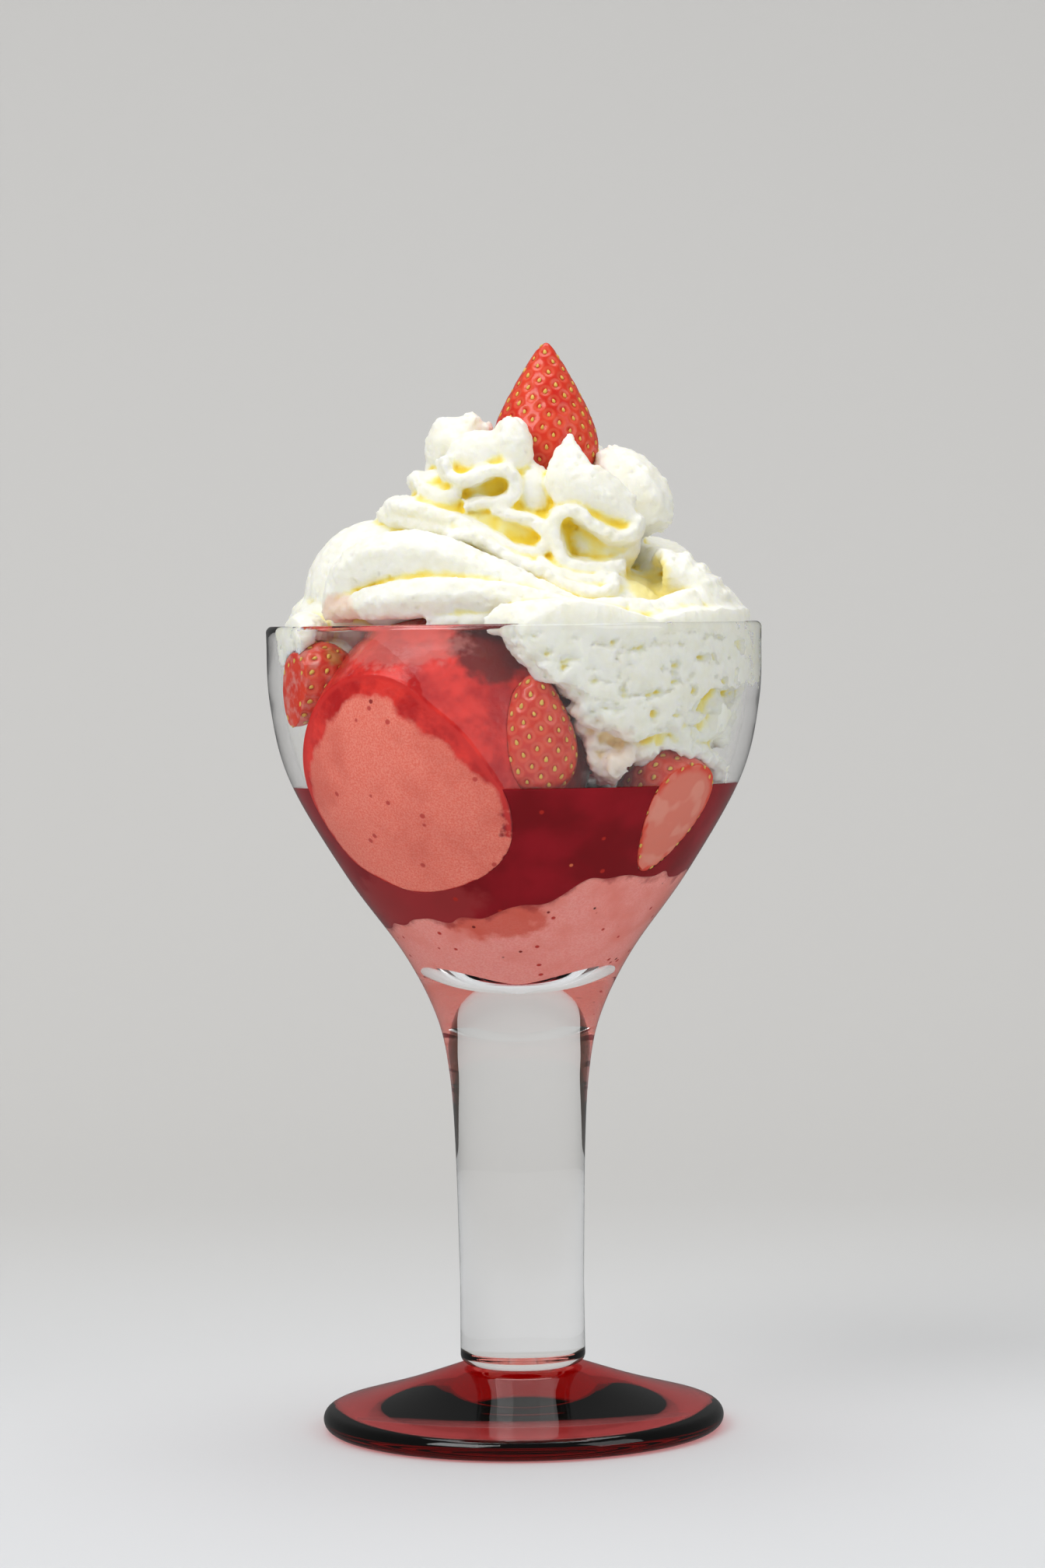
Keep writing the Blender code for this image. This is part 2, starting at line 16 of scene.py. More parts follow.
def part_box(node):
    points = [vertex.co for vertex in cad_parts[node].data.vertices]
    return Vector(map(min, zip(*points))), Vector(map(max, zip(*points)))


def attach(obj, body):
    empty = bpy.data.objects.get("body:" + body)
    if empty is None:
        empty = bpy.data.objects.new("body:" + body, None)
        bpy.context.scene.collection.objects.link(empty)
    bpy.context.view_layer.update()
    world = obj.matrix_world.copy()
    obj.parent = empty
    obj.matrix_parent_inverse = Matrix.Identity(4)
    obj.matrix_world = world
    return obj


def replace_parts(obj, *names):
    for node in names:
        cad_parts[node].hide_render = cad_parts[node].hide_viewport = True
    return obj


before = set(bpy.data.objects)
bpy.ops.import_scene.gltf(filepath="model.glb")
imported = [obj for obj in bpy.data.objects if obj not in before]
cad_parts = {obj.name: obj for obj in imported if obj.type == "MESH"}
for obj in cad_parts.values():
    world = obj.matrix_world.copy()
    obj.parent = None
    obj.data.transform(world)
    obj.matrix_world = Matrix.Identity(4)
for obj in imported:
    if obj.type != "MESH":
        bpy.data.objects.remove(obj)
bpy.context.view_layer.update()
MM = 0.001
print("solid parts:", ", ".join(sorted(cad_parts)))

# %% [markdown]
# ## Two small helpers for materials
# Colours are written the way a colour picker shows them, as sRGB hex. Light adds up linearly, so
# Blender's sockets want linear values, and one function turns the first into the second. Every
# material below is a small graph, and one more function adds a node with its settings and links.


# %% Colour and node helpers
def colour(code):
    """A linear RGBA tuple from an sRGB hex code such as D92A22."""
    parts = [int(code[i : i + 2], 16) / 255 for i in (0, 2, 4)]
    return (*[p / 12.92 if p <= 0.04045 else ((p + 0.055) / 1.055) ** 2.4 for p in parts], 1.0)


def add_node(tree, kind, inputs=None, **settings):
    """Adds a node. inputs maps a socket's name or number to a value, or to an output to link."""
    made = tree.nodes.new("ShaderNode" + kind)
    for name, value in settings.items():
        setattr(made, name, value)
    for name, value in (inputs or {}).items():
        if isinstance(value, bpy.types.NodeSocket):
            tree.links.new(value, made.inputs[name])
        else:
            made.inputs[name].default_value = value
    return made


def new_material(name):
    """An empty material, ready for its nodes."""
    made = bpy.data.materials.new(name)
    made.use_nodes = True
    made.node_tree.nodes.clear()
    return made, made.node_tree


print("white in linear light:", colour("FFFFFF"))

# %% [markdown]
# ## The camera
# A long lens from about nine tenths of a metre keeps the glass free of wide-angle stretch. The eye
# is level with the rim, so the rim closes to a line, and looks down by two degrees. The picture
# leans by less than one degree, as a hand-levelled camera does.

# %% Camera
IMAGE_SIZE = (1344, 2016)
EYE = Vector((1.4, -896, 165.6)) * MM
LOOK_DOWN = math.radians(2.1)
LEAN = math.radians(-0.73)

lens = bpy.data.cameras.new("camera")
lens.sensor_fit = "VERTICAL"
lens.sensor_height = 36
lens.lens = 100
camera = bpy.data.objects.new("camera", lens)
bpy.context.scene.collection.objects.link(camera)
aim = Matrix.Rotation(math.radians(90) - LOOK_DOWN, 4, "X") @ Matrix.Rotation(LEAN, 4, "Z")
camera.matrix_world = Matrix.Translation(EYE) @ aim
bpy.context.scene.camera = camera
bpy.context.scene.view_settings.view_transform = "Standard"
print("lens", lens.lens, "mm, image", IMAGE_SIZE)

# %% [markdown]
# ## The studio
# A glass shows what is around it more than it shows itself. So the set is built for its edges: a
# pale sweep that runs from the floor up into a wall, a soft even sky of light, and dark walls
# out of view, which the curved edges of the stem pick up as thin dark lines.


# %% Sweep, dark walls and lights
FLOOR_Z = -0.0002


def make_mesh_object(name, points, faces, smooth=True):
    mesh = bpy.data.meshes.new(name)
    mesh.from_pydata(points, [], faces)
    mesh.update()
    made = bpy.data.objects.new(name, mesh)
    bpy.context.scene.collection.objects.link(made)
    for face in mesh.polygons:
        face.use_smooth = smooth
    return made


def make_sweep(name, left, right):
    """A floor that bends up into a wall, as one strip from x = left to x = right."""
    bend, wall_y, wall_top = 0.6, 0.95, 3.0
    line = [(-2.2, FLOOR_Z), (-0.5, FLOOR_Z), (wall_y - bend, FLOOR_Z)]
    for step in range(1, 17):
        angle = math.pi / 2 * step / 16
        line.append((wall_y - bend + bend * math.sin(angle), FLOOR_Z + bend - bend * math.cos(angle)))
    line.append((wall_y, wall_top))
    points = [(x, y, z) for y, z in line for x in (left, right)]
    faces = [(2 * i, 2 * i + 1, 2 * i + 3, 2 * i + 2) for i in range(len(line) - 1)]
    return make_mesh_object(name, points, faces)


def painted(name, code, roughness=0.9):
    """Flat paint for the set."""
    made, tree = new_material(name)
    shader = add_node(tree, "BsdfPrincipled", {"Base Color": colour(code), "Roughness": roughness})
    add_node(tree, "OutputMaterial", {"Surface": shader.outputs[0]})
    return made


def soft_light(name, place, size, power, aim_at=(0, 0, 0.15), tint=(1, 1, 1)):
    lamp = bpy.data.lights.new(name, "AREA")
    lamp.shape = "RECTANGLE"
    lamp.size, lamp.size_y = size
    lamp.energy = power
    lamp.color = tint
    made = bpy.data.objects.new(name, lamp)
    bpy.context.scene.collection.objects.link(made)
    made.location = place
    made.rotation_euler = (Vector(aim_at) - Vector(place)).to_track_quat("-Z", "Y").to_euler()
    return made


TABLE_HALF_WIDTH = 0.9
# The paper's colour is graded, light on the table and greyer up the wall: painted shade, for a wall that gets less
# light than the table.
paper = painted("matt sweep paper", "C0BFBD")
tree = paper.node_tree
across = add_node(tree, "SeparateXYZ", {0: add_node(tree, "TexCoord").outputs["Object"]}).outputs[1]
far = add_node(tree, "MapRange", {0: across, 1: -0.1, 2: 0.45}, interpolation_type="SMOOTHSTEP").outputs[0]
painted_wall_shade = add_node(tree, "Mix", {0: far}, data_type="RGBA")
painted_wall_shade.inputs[6].default_value = colour("D4D6D8")
painted_wall_shade.inputs[7].default_value = colour("C0BFBD")
tree.links.new(painted_wall_shade.outputs[2], tree.nodes["Principled BSDF"].inputs["Base Color"])
sweep = make_sweep("sweep", -TABLE_HALF_WIDTH, TABLE_HALF_WIDTH)
wings = [
    make_sweep("sweep_left", -3.0, -TABLE_HALF_WIDTH),
    make_sweep("sweep_right", TABLE_HALF_WIDTH, 3.0),
]
for strip in (sweep, *wings):
    strip.data.materials.append(paper)
    strip.visible_glossy = False

# Seen through glass, the room beside the table is dark. So each wing has a dark twin that only
# shows through glass, and gives the stem and the neck their dark edges.
dark = painted("dark brown wall", "453628")
for side, wing in zip(("left", "right"), wings):
    wing.visible_transmission = False
    twin = wing.copy()
    twin.name = f"dark_{side}"
    twin.data = wing.data.copy()
    twin.data.materials.clear()
    twin.data.materials.append(dark)
    bpy.context.scene.collection.objects.link(twin)
    twin.visible_transmission = True
    twin.visible_camera = twin.visible_glossy = twin.visible_diffuse = twin.visible_shadow = False

sky = bpy.data.worlds.new("studio air")
bpy.context.scene.world = sky
sky.use_nodes = True
sky.node_tree.nodes.clear()
in_gloss = add_node(sky.node_tree, "LightPath").outputs["Is Glossy Ray"]
bright = add_node(sky.node_tree, "Background", {"Color": (1, 1, 1, 1), "Strength": 0.5})
dim = add_node(sky.node_tree, "Background", {"Color": (1, 1, 1, 1), "Strength": 0.13})
both = add_node(sky.node_tree, "MixShader", {0: in_gloss, 1: bright.outputs[0], 2: dim.outputs[0]})
add_node(sky.node_tree, "OutputWorld", {"Surface": both.outputs[0]})

soft_light("key softbox", (-1.0, -1.0, 1.5), (1.1, 1.1), 17)
soft_light("fill softbox", (1.4, -0.9, 1.0), (1.0, 1.4), 6)
soft_light("overhead softbox", (0.0, 0.3, 1.9), (1.6, 1.2), 14)

# %% [markdown]
# ## Clear glass
# The goblet is soda-lime glass, drawn and pressed while hot, so its surface is as smooth as a
# liquid's. That is a Principled shader with full transmission, an IOR of 1.52 and no roughness.
# Lamps can't find their way through bent glass without heavy noise, so a Light Path switch lets
# the light that falls on the contents pass straight through. The camera still sees true bending.


# %% Clear glass material
GLASS_IOR = 1.52


def glass_material(name, tint, passes, absorb=None, density=0.0):
    """Smooth glass that bends what is seen, lets lamps through, and may darken with depth."""
    made, tree = new_material(name)
    glass = add_node(
        tree,
        "BsdfPrincipled",
        {
            "Base Color": colour(tint),
            "Roughness": 0.0,
            "IOR": GLASS_IOR,
            "Transmission Weight": 1.0,
        },
    )
    clear = add_node(tree, "BsdfTransparent", {"Color": colour(passes)})
    path = add_node(tree, "LightPath")
    inner = add_node(
        tree, "MixShader", {0: path.outputs["Is Diffuse Ray"], 1: glass.outputs[0], 2: clear.outputs[0]}
    )
    outer = add_node(
        tree, "MixShader", {0: path.outputs["Is Shadow Ray"], 1: inner.outputs[0], 2: clear.outputs[0]}
    )
    out = add_node(tree, "OutputMaterial", {"Surface": outer.outputs[0]})
    if absorb is not None:
        depth = add_node(tree, "VolumeAbsorption", {"Color": colour(absorb), "Density": density})
        tree.links.new(depth.outputs[0], out.inputs["Volume"])
    return made


clear_glass = glass_material("clear soda-lime glass", "FFFFFF", "FBFCFB")
ruby_glass = glass_material("ruby glass", "FFFFFF", "F0E0E0", absorb="F00618", density=175.0)

# %% [markdown]
# ## The goblet
# Turned things are easiest as a profile: half of the outline, spun round the axis. The solid has
# few sides, so a finer one takes its place, with the same driving sizes. A smooth curve runs
# through a few radii at named heights, because a hand-drawn bowl has no straight stretch.

# %% Goblet sizes and profile
low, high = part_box("goblet")
RIM_HEIGHT = high.z
BOWL_RADIUS = high.x
LIP_THICKNESS = 2.5 * MM
BOWL_FLOOR = 93.2 * MM
STEM_RADIUS = 12.9 * MM
STEM_FOOT_Z = low.z
HEEL_ROUNDING = 2.0 * MM
TURNS = 160


def through(points, per_span):
    """Points along a smooth Catmull-Rom curve that passes through every given point."""
    ends = [2 * points[0] - points[1], *points, 2 * points[-1] - points[-2]]
    found = []
    for a, b, c, d in zip(ends, ends[1:], ends[2:], ends[3:]):
        for step in range(per_span):
            t = step / per_span
            found.append(
                b + 0.5 * t * (c - a + t * (2 * a - 5 * b + 4 * c - d + t * (3 * (b - c) + d - a)))
            )
    return [*found, points[-1]]


def arc(centre, radius, start, end, steps):
    """Points (r, z) round an arc, with its angles in degrees from +r towards +z."""
    angles = [math.radians(start + (end - start) * step / steps) for step in range(steps + 1)]
    return [Vector((centre[0] + radius * math.cos(a), centre[1] + radius * math.sin(a))) for a in angles]


def spin(outline, turns, name):
    """A smooth solid of revolution from an outline of (r, z) that runs from axis to axis."""
    shape = bmesh.new()
    rings = []
    for r, z in outline:
        if r < 1e-6:
            rings.append([shape.verts.new((0, 0, z))] * turns)
        else:
            angles = [2 * math.pi * i / turns for i in range(turns)]
            rings.append([shape.verts.new((r * math.cos(a), r * math.sin(a), z)) for a in angles])
    for upper, lower in zip(rings, rings[1:]):
        for i in range(turns):
            j = (i + 1) % turns
            corners = list(dict.fromkeys((upper[i], lower[i], lower[j], upper[j])))
            if len(corners) > 2:
                shape.faces.new(corners)
    bmesh.ops.recalc_face_normals(shape, faces=shape.faces[:])
    mesh = bpy.data.meshes.new(name)
    shape.to_mesh(mesh)
    shape.free()
    mesh.shade_smooth()
    made = bpy.data.objects.new(name, mesh)
    bpy.context.scene.collection.objects.link(made)
    return made


def inner_wall(per_span):
    """The inside of the bowl from the axis up to the lip, as (r, z)."""
    floor = [Vector((r * MM, BOWL_FLOOR + rise * MM)) for r, rise in ((0, 0), (7.2, 1.4), (13.2, 4.8))]
    side = [
        Vector((r * MM, z * MM)) for r, z in ((21.0, 104.4), (32.0, 117), (41.6, 130.4), (46.8, 145))
    ]
    lip_root = Vector((BOWL_RADIUS - LIP_THICKNESS, RIM_HEIGHT - LIP_THICKNESS / 2))
    return through([*floor, *side, lip_root], per_span)


def outer_wall(per_span):
    """The outside of the bowl and stem, from the lip down to the stem's lower end."""
    bowl = [
        Vector((r * MM, z * MM))
        for r, z in ((50.3, 150), (46.4, 134), (35.1, 114.4), (23.6, 98.4), (17.1, 85.6))
    ]
    stem = [
        Vector((STEM_RADIUS + bulge * MM, z * MM)) for bulge, z in ((1.6, 74), (0.5, 58), (-0.1, 30))
    ]
    lip_root = Vector((BOWL_RADIUS, RIM_HEIGHT - LIP_THICKNESS / 2))
    return through([lip_root, *bowl, *stem], per_span)


lip_centre = (BOWL_RADIUS - LIP_THICKNESS / 2, RIM_HEIGHT - LIP_THICKNESS / 2)
lip = arc(lip_centre, LIP_THICKNESS / 2, 180, 0, 16)
heel = arc((STEM_RADIUS - HEEL_ROUNDING, STEM_FOOT_Z + HEEL_ROUNDING), HEEL_ROUNDING, 0, -90, 8)
goblet_outline = [*inner_wall(12)[:-1], *lip, *outer_wall(12)[1:], *heel, Vector((0, STEM_FOOT_Z))]
goblet = spin(goblet_outline, TURNS, "glass_goblet")
goblet.data.materials.append(clear_glass)
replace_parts(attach(goblet, "root"), "goblet")
print("goblet:", len(goblet_outline), "rings of", TURNS)

# %% Foot
FOOT_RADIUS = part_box("foot")[1].x
FOOT_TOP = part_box("foot")[1].z
FOOT_EDGE = 4.4 * MM
FOOT_SLOPE = 19.0
FOOT_DISH = 0.35 * MM
FOOT_HOLLOW_RADIUS = 38.0 * MM
FOOT_HOLLOW_DEPTH = 5.3 * MM
foot_edge = arc((FOOT_RADIUS - FOOT_EDGE / 2, FOOT_EDGE / 2), FOOT_EDGE / 2, 90 - FOOT_SLOPE, -90, 20)
knee = Vector((STEM_RADIUS, FOOT_TOP))
foot_middle = (knee + foot_edge[0]) / 2 - Vector((0, FOOT_DISH))
foot_hollow = [
    Vector((FOOT_HOLLOW_RADIUS * share, FOOT_HOLLOW_DEPTH * (1 - share * share)))
    for share in (1, 0.93, 0.85, 0.76, 0.66, 0.55, 0.44, 0.33, 0.22, 0.11, 0)
]
foot_outline = [Vector((0, FOOT_TOP)), *through([knee, foot_middle, foot_edge[0]], 10)]
foot_outline += [*foot_edge[1:], *foot_hollow]
foot = spin(foot_outline, TURNS, "glass_foot")
foot.data.materials.append(ruby_glass)
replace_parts(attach(foot, "root"), "foot")
print("foot:", len(foot_outline), "rings of", TURNS)

# %% [markdown]
# ## What the bowl holds
# Soft food that is pushed against glass takes the glass's shape there. Every piece below is made
# a little too big, and then each point that would pass the wall is moved back to it, along the
# radius. It stops a quarter of a millimetre inside the glass, so no air shows between the two.
# How far a point was pushed is kept on the mesh: the finishes use it for wet and frosted places.

# %% Meeting the wall
REACH = 0.25 * MM
wall = np.array([(p[0], p[1]) for p in inner_wall(24)])
along = np.gradient(wall, axis=0)
along /= np.linalg.norm(along, axis=1)[:, None]
wall += REACH * np.stack([along[:, 1], -along[:, 0]], axis=1)


def wall_radius(z):
    """How far out a pressed surface lies at each height: just inside the glass of the wall."""
    return np.interp(z, wall[:, 1], wall[:, 0])


def points_of(mesh):
    found = np.empty(len(mesh.vertices) * 3)
    mesh.vertices.foreach_get("co", found)
    return found.reshape(-1, 3)


def set_points(mesh, points):
    mesh.vertices.foreach_set("co", np.asarray(points, dtype=np.float32).ravel())
    mesh.update()


def keep(mesh, name, values):
    """Keeps one number for each vertex, for the materials to read."""
    layer = mesh.attributes.get(name) or mesh.attributes.new(name, "FLOAT", "POINT")
    layer.data.foreach_set("value", np.asarray(values, dtype=np.float32))


def press_to_wall(points, deeper=0.0):
    """Moves points that pass the wall back to it, and says how far each was pushed."""
    radius = np.hypot(points[:, 0], points[:, 1])
    limit = wall_radius(points[:, 2]) + deeper
    pushed = np.maximum(radius - limit, 0)
    share = np.where(pushed > 0, limit / np.maximum(radius, 1e-9), 1.0)
    moved = points.copy()
    moved[:, :2] *= share[:, None]
    return moved, pushed


def waves(points, scale, seed, octaves=3):
    """Soft repeatable noise at each point, about -1 to 1, with the given grain size in metres."""
    shift = Vector((seed * 7.3, seed * 3.1, seed * 5.7))
    return np.array([noise.fractal(Vector(p) / scale + shift, 0.9, 2.1, octaves) for p in points])


def ripple(x, y, size):
    """The gentle crossing waves that the solids have too."""
    long_waves = np.sin(x / (9 * MM) + y / (13 * MM)) + 0.6 * np.cos(y / (7 * MM) - x / (17 * MM))
    short_waves = np.sin(x / (4.1 * MM) + 1.3) * np.cos(y / (3.7 * MM))
    return size * (0.45 * long_waves + 0.25 * short_waves)


def cut_away(piece, *others):
    """Takes other closed meshes away from a piece, or keeps a piece as it is."""
    for other in others:
        step = piece.modifiers.new("cut", "BOOLEAN")
        step.operation = "DIFFERENCE"
        step.solver = "MANIFOLD"
        step.object = other
    fixed = bpy.data.meshes.new_from_object(piece.evaluated_get(bpy.context.evaluated_depsgraph_get()))
    piece.modifiers.clear()
    old, piece.data = piece.data, fixed
    fixed.name = old.name
    bpy.data.meshes.remove(old)
    fixed.shade_smooth()
    return piece


def triangles_in(piece):
    return sum(len(face.vertices) - 2 for face in piece.data.polygons)


def discard(*helpers):
    for helper in helpers:
        bpy.data.objects.remove(helper, do_unlink=True)


print("the wall opens from", round(wall[1, 0] / MM, 1), "to", round(wall[-1, 0] / MM, 1), "mm")

# %% [markdown]
# ## The layers
# The bed of ice cream and the sauce over it share one recipe: the wall below, a level above. A grid
# laid out in rings and spokes follows both, so the edge between the layers is crisp at the glass.

# %% Bed and sauce
SAUCE_LEVEL = 132.6 * MM
MENISCUS = 0.7 * MM
BED_LEVEL = 110.8 * MM
BED_SLOPE = 0.19
BED_MOUND = 3.4 * MM
BED_MOUND_PLACE = (14 * MM, -24 * MM)
BED_MOUND_SPREAD = 6.5 * MM
BED_RIPPLE = 1.6 * MM
SPOKES = 360


def bed_level(x, y):
    """The top of the bed: it climbs to the right, with a mound at its front right."""
    away = np.hypot(x - BED_MOUND_PLACE[0], y - BED_MOUND_PLACE[1]) / BED_MOUND_SPREAD
    rough = 0.5 * MM * np.sin(x / (1.9 * MM) + 2 * np.sin(y / (2.3 * MM)))
    mound = BED_MOUND * np.exp(-away * away)
    return BED_LEVEL + BED_SLOPE * x + mound + ripple(x, y, BED_RIPPLE) + rough


def sauce_level(x, y):
    """The top of the sauce, which creeps up the glass a little where it meets it."""
    away = wall_radius(SAUCE_LEVEL) - np.hypot(x, y)
    return SAUCE_LEVEL + MENISCUS * np.exp(-away / (1.1 * MM))


def layer_mesh(name, level, floor, wall_rows, top_rows):
    """A closed layer against the wall, from the height floor(x, y) up to level(x, y)."""
    angles = np.linspace(0, 2 * np.pi, SPOKES, endpoint=False)

    def contact(height):
        """The height at which a surface meets the wall along each spoke."""
        z = np.full(SPOKES, 0.12)
        for _ in range(30):
            r = wall_radius(z)
            z = 0.5 * (z + height(r * np.cos(angles), r * np.sin(angles)))
        return z

    rings = []
    upper, lower = contact(level), contact(floor)
    for row in range(top_rows):
        r = (row / top_rows) * wall_radius(upper)
        x, y = r * np.cos(angles), r * np.sin(angles)
        rings.append(np.stack([x, y, level(x, y)], axis=1))
    for row in range(wall_rows + 1):
        z = upper + (lower - upper) * row / wall_rows
        r = wall_radius(z)
        rings.append(np.stack([r * np.cos(angles), r * np.sin(angles), z], axis=1))
    for row in range(1, top_rows + 1):
        r = (1 - row / top_rows) * wall_radius(lower)
        x, y = r * np.cos(angles), r * np.sin(angles)
        rings.append(np.stack([x, y, floor(x, y)], axis=1))
    points = np.concatenate([rings[0][:1], *rings[1:-1], rings[-1][:1]])
    faces = [(0, 1 + i, 1 + (i + 1) % SPOKES) for i in range(SPOKES)]
    for row in range(len(rings) - 3):
        start = 1 + row * SPOKES
        for i in range(SPOKES):
            j = (i + 1) % SPOKES
            faces.append((start + i, start + SPOKES + i, start + SPOKES + j, start + j))
    last = len(points) - 1
    start = last - SPOKES
    faces += [(last, start + (i + 1) % SPOKES, start + i) for i in range(SPOKES)]
    return make_mesh_object(name, points, faces)


def bowl_bottom(x, y):
    """The lowest level of the bowl's inside."""
    return wall[0, 1] + 0 * x


def lift_off(points):
    """Frozen ice cream doesn't flow into the bottom of the bowl: a sliver of air stays there.

    It reaches higher at the left and right. Glass with air behind it mirrors the pale floor.
    """
    radius = np.hypot(points[:, 0], points[:, 1])
    side = (points[:, 0] / np.maximum(radius, 1e-6)) ** 2 * np.clip(radius / AIR_RADIUS, 0, 1)
    below = np.clip((AIR_TOP + AIR_RISE * side - points[:, 2]) / AIR_FADE, 0, 1)
    away = below * below * (3 - 2 * below) * (REACH + AIR_GAP)
    moved = points.copy()
    moved[:, 2] += away
    moved[:, :2] *= (1 - away * np.clip(radius / AIR_RADIUS, 0, 1) / np.maximum(radius, 1e-6))[:, None]
    return moved


AIR_TOP = 95.0 * MM
AIR_RISE = 4.0 * MM
AIR_FADE = 0.9 * MM
AIR_GAP = 0.15 * MM
AIR_RADIUS = 6 * MM

bed = layer_mesh("bed_of_ice_cream", bed_level, bowl_bottom, 60, 40)
points = points_of(bed.data)
keep(bed.data, "below_top", (bed_level(points[:, 0], points[:, 1]) - points[:, 2]) / MM)
set_points(bed.data, lift_off(points))
sauce = layer_mesh("sauce_pool", sauce_level, bed_level, 60, 40)
print("bed:", len(bed.data.polygons), "faces, sauce:", len(sauce.data.polygons), "faces")

# %% Scoop
SCOOP_RADIUS = 28 * MM
SCOOP_CENTRE = np.array((-12.8, -18.4, 140.4)) * MM
SCOOP_RIPPLE = 0.9 * MM
SCOOP_SHOULDER = 2.4 * MM
SCOOP_SHOULDER_WAY = np.array((-0.53, -0.68, 0.5))
SCOOP_SHOULDER_SPREAD = 0.55


def ball(name, subdivisions, grow=0.0):
    """The scoop before it is pressed against the wall."""
    shape = bmesh.new()
    bmesh.ops.create_icosphere(shape, subdivisions=subdivisions, radius=1)
    mesh = bpy.data.meshes.new(name)
    shape.to_mesh(mesh)
    shape.free()
    way = points_of(mesh)
    uneven = ripple(way[:, 0] * SCOOP_RADIUS, (way[:, 1] + way[:, 2]) * SCOOP_RADIUS, SCOOP_RIPPLE)
    top = SCOOP_SHOULDER_WAY / np.linalg.norm(SCOOP_SHOULDER_WAY)
    away = np.linalg.norm(way - top, axis=1) / SCOOP_SHOULDER_SPREAD
    size = SCOOP_RADIUS + uneven + SCOOP_SHOULDER * np.exp(-away * away) + grow
    set_points(mesh, SCOOP_CENTRE + way * size[:, None])
    mesh.shade_smooth()
    made = bpy.data.objects.new(name, mesh)
    bpy.context.scene.collection.objects.link(made)
    return made


scoop = ball("pressed_scoop", 7)
pressed, pushed = press_to_wall(points_of(scoop.data))
set_points(scoop.data, pressed)
keep(scoop.data, "pushed_mm", pushed / MM)
print("scoop:", len(scoop.data.polygons), "faces, pushed by up to", round(pushed.max() / MM, 1), "mm")

# %% [markdown]
# ## Strawberries
# A strawberry is a blunt cone with its widest part near the stem. Its seeds sit in a spiral, each
# in its own dimple, because the flesh swells round it. The spiral steps by the golden angle, which
# is how plants pack seeds evenly. Seeds are real meshes, so they catch light on their own.

# %% Strawberry shapes
TOP_BERRY = {"length": 30, "width": 22.2, "blunt": 0.08, "place": (7.0, 1.5, 208.4), "tip": (0.02, 0, 1)}
FRONT_BERRY = {"length": 25, "width": 16.4, "blunt": 1.3, "place": (4, -38.2, 144), "tip": (0, -0.34, 0.94)}
RIGHT_BERRY = {"length": 29, "width": 19, "blunt": 0.3, "place": (26.8, -22.4, 127.6), "tip": (-0.5, 0.3, -0.8)}
LEFT_BERRY = {"length": 18, "width": 13.6, "blunt": 0.8, "place": (-39.6, -19.8, 153.6), "tip": (-0.5, 0.1, -0.8)}
BERRY_SHOULDER = 3
SEED_MARGIN = 0.8 * MM
GOLDEN_ANGLE = math.radians(137.508)
SEED_SPACING = 2.9 * MM
SEED_SIZE = np.array((0.37, 0.56, 0.28)) * MM
DIMPLE_DEPTH = 0.4 * MM
DIMPLE_WIDTH = 0.9 * MM


def berry_radius(share, berry):
    """The radius of a strawberry, in metres, at a share of its length from the tip.

    It is a cone with a rounded tip, closed by a rounded shoulder near the stem.
    """
    def outline(t):
        cone = np.sqrt(t * t + 2 * berry["blunt"] * t)
        return cone * np.sqrt(np.maximum(1 - t**BERRY_SHOULDER, 0))

    widest = outline(np.linspace(0, 1, 200)).max()
    return berry["width"] / 2 * MM * outline(np.clip(share, 0, 1)) / widest


def berry_point(share, angle, berry):
    """A point of the skin in the strawberry's own frame, with its tip at -Z."""
    radius = berry_radius(share, berry)
    level = (share - 0.5) * berry["length"] * MM
    return np.stack(np.broadcast_arrays(radius * np.cos(angle), radius * np.sin(angle), level), axis=-1)


def seed_places(berry):
    """The share of the length and the angle of every seed, evenly spread over the skin."""
    shares = np.linspace(0.001, 0.999, 400)
    profile = berry_point(shares, np.zeros(400), berry)
    steps = np.linalg.norm(np.diff(profile, axis=0), axis=1)
    strips = 2 * np.pi * 0.5 * (profile[1:, 0] + profile[:-1, 0]) * steps
    area = np.concatenate([[0], np.cumsum(strips)])
    count = int(area[-1] / SEED_SPACING**2)
    wanted = (np.arange(count) + 0.5) / count * area[-1]
    return np.interp(wanted, area, shares), np.arange(count) * GOLDEN_ANGLE


def berry_turn(berry):
    return Vector((0, 0, -1)).rotation_difference(Vector(berry["tip"])).to_matrix()


def to_place(points, berry):
    """From the strawberry's own frame to where it lies."""
    return points @ np.array(berry_turn(berry)).T + np.array(berry["place"]) * MM


def shows(point):
    """True above the rim, and below it up to the wall: glass has no seeds where it cut deep."""
    return point[2] > RIM_HEIGHT or math.hypot(point[0], point[1]) < wall_radius(point[2]) + SEED_MARGIN


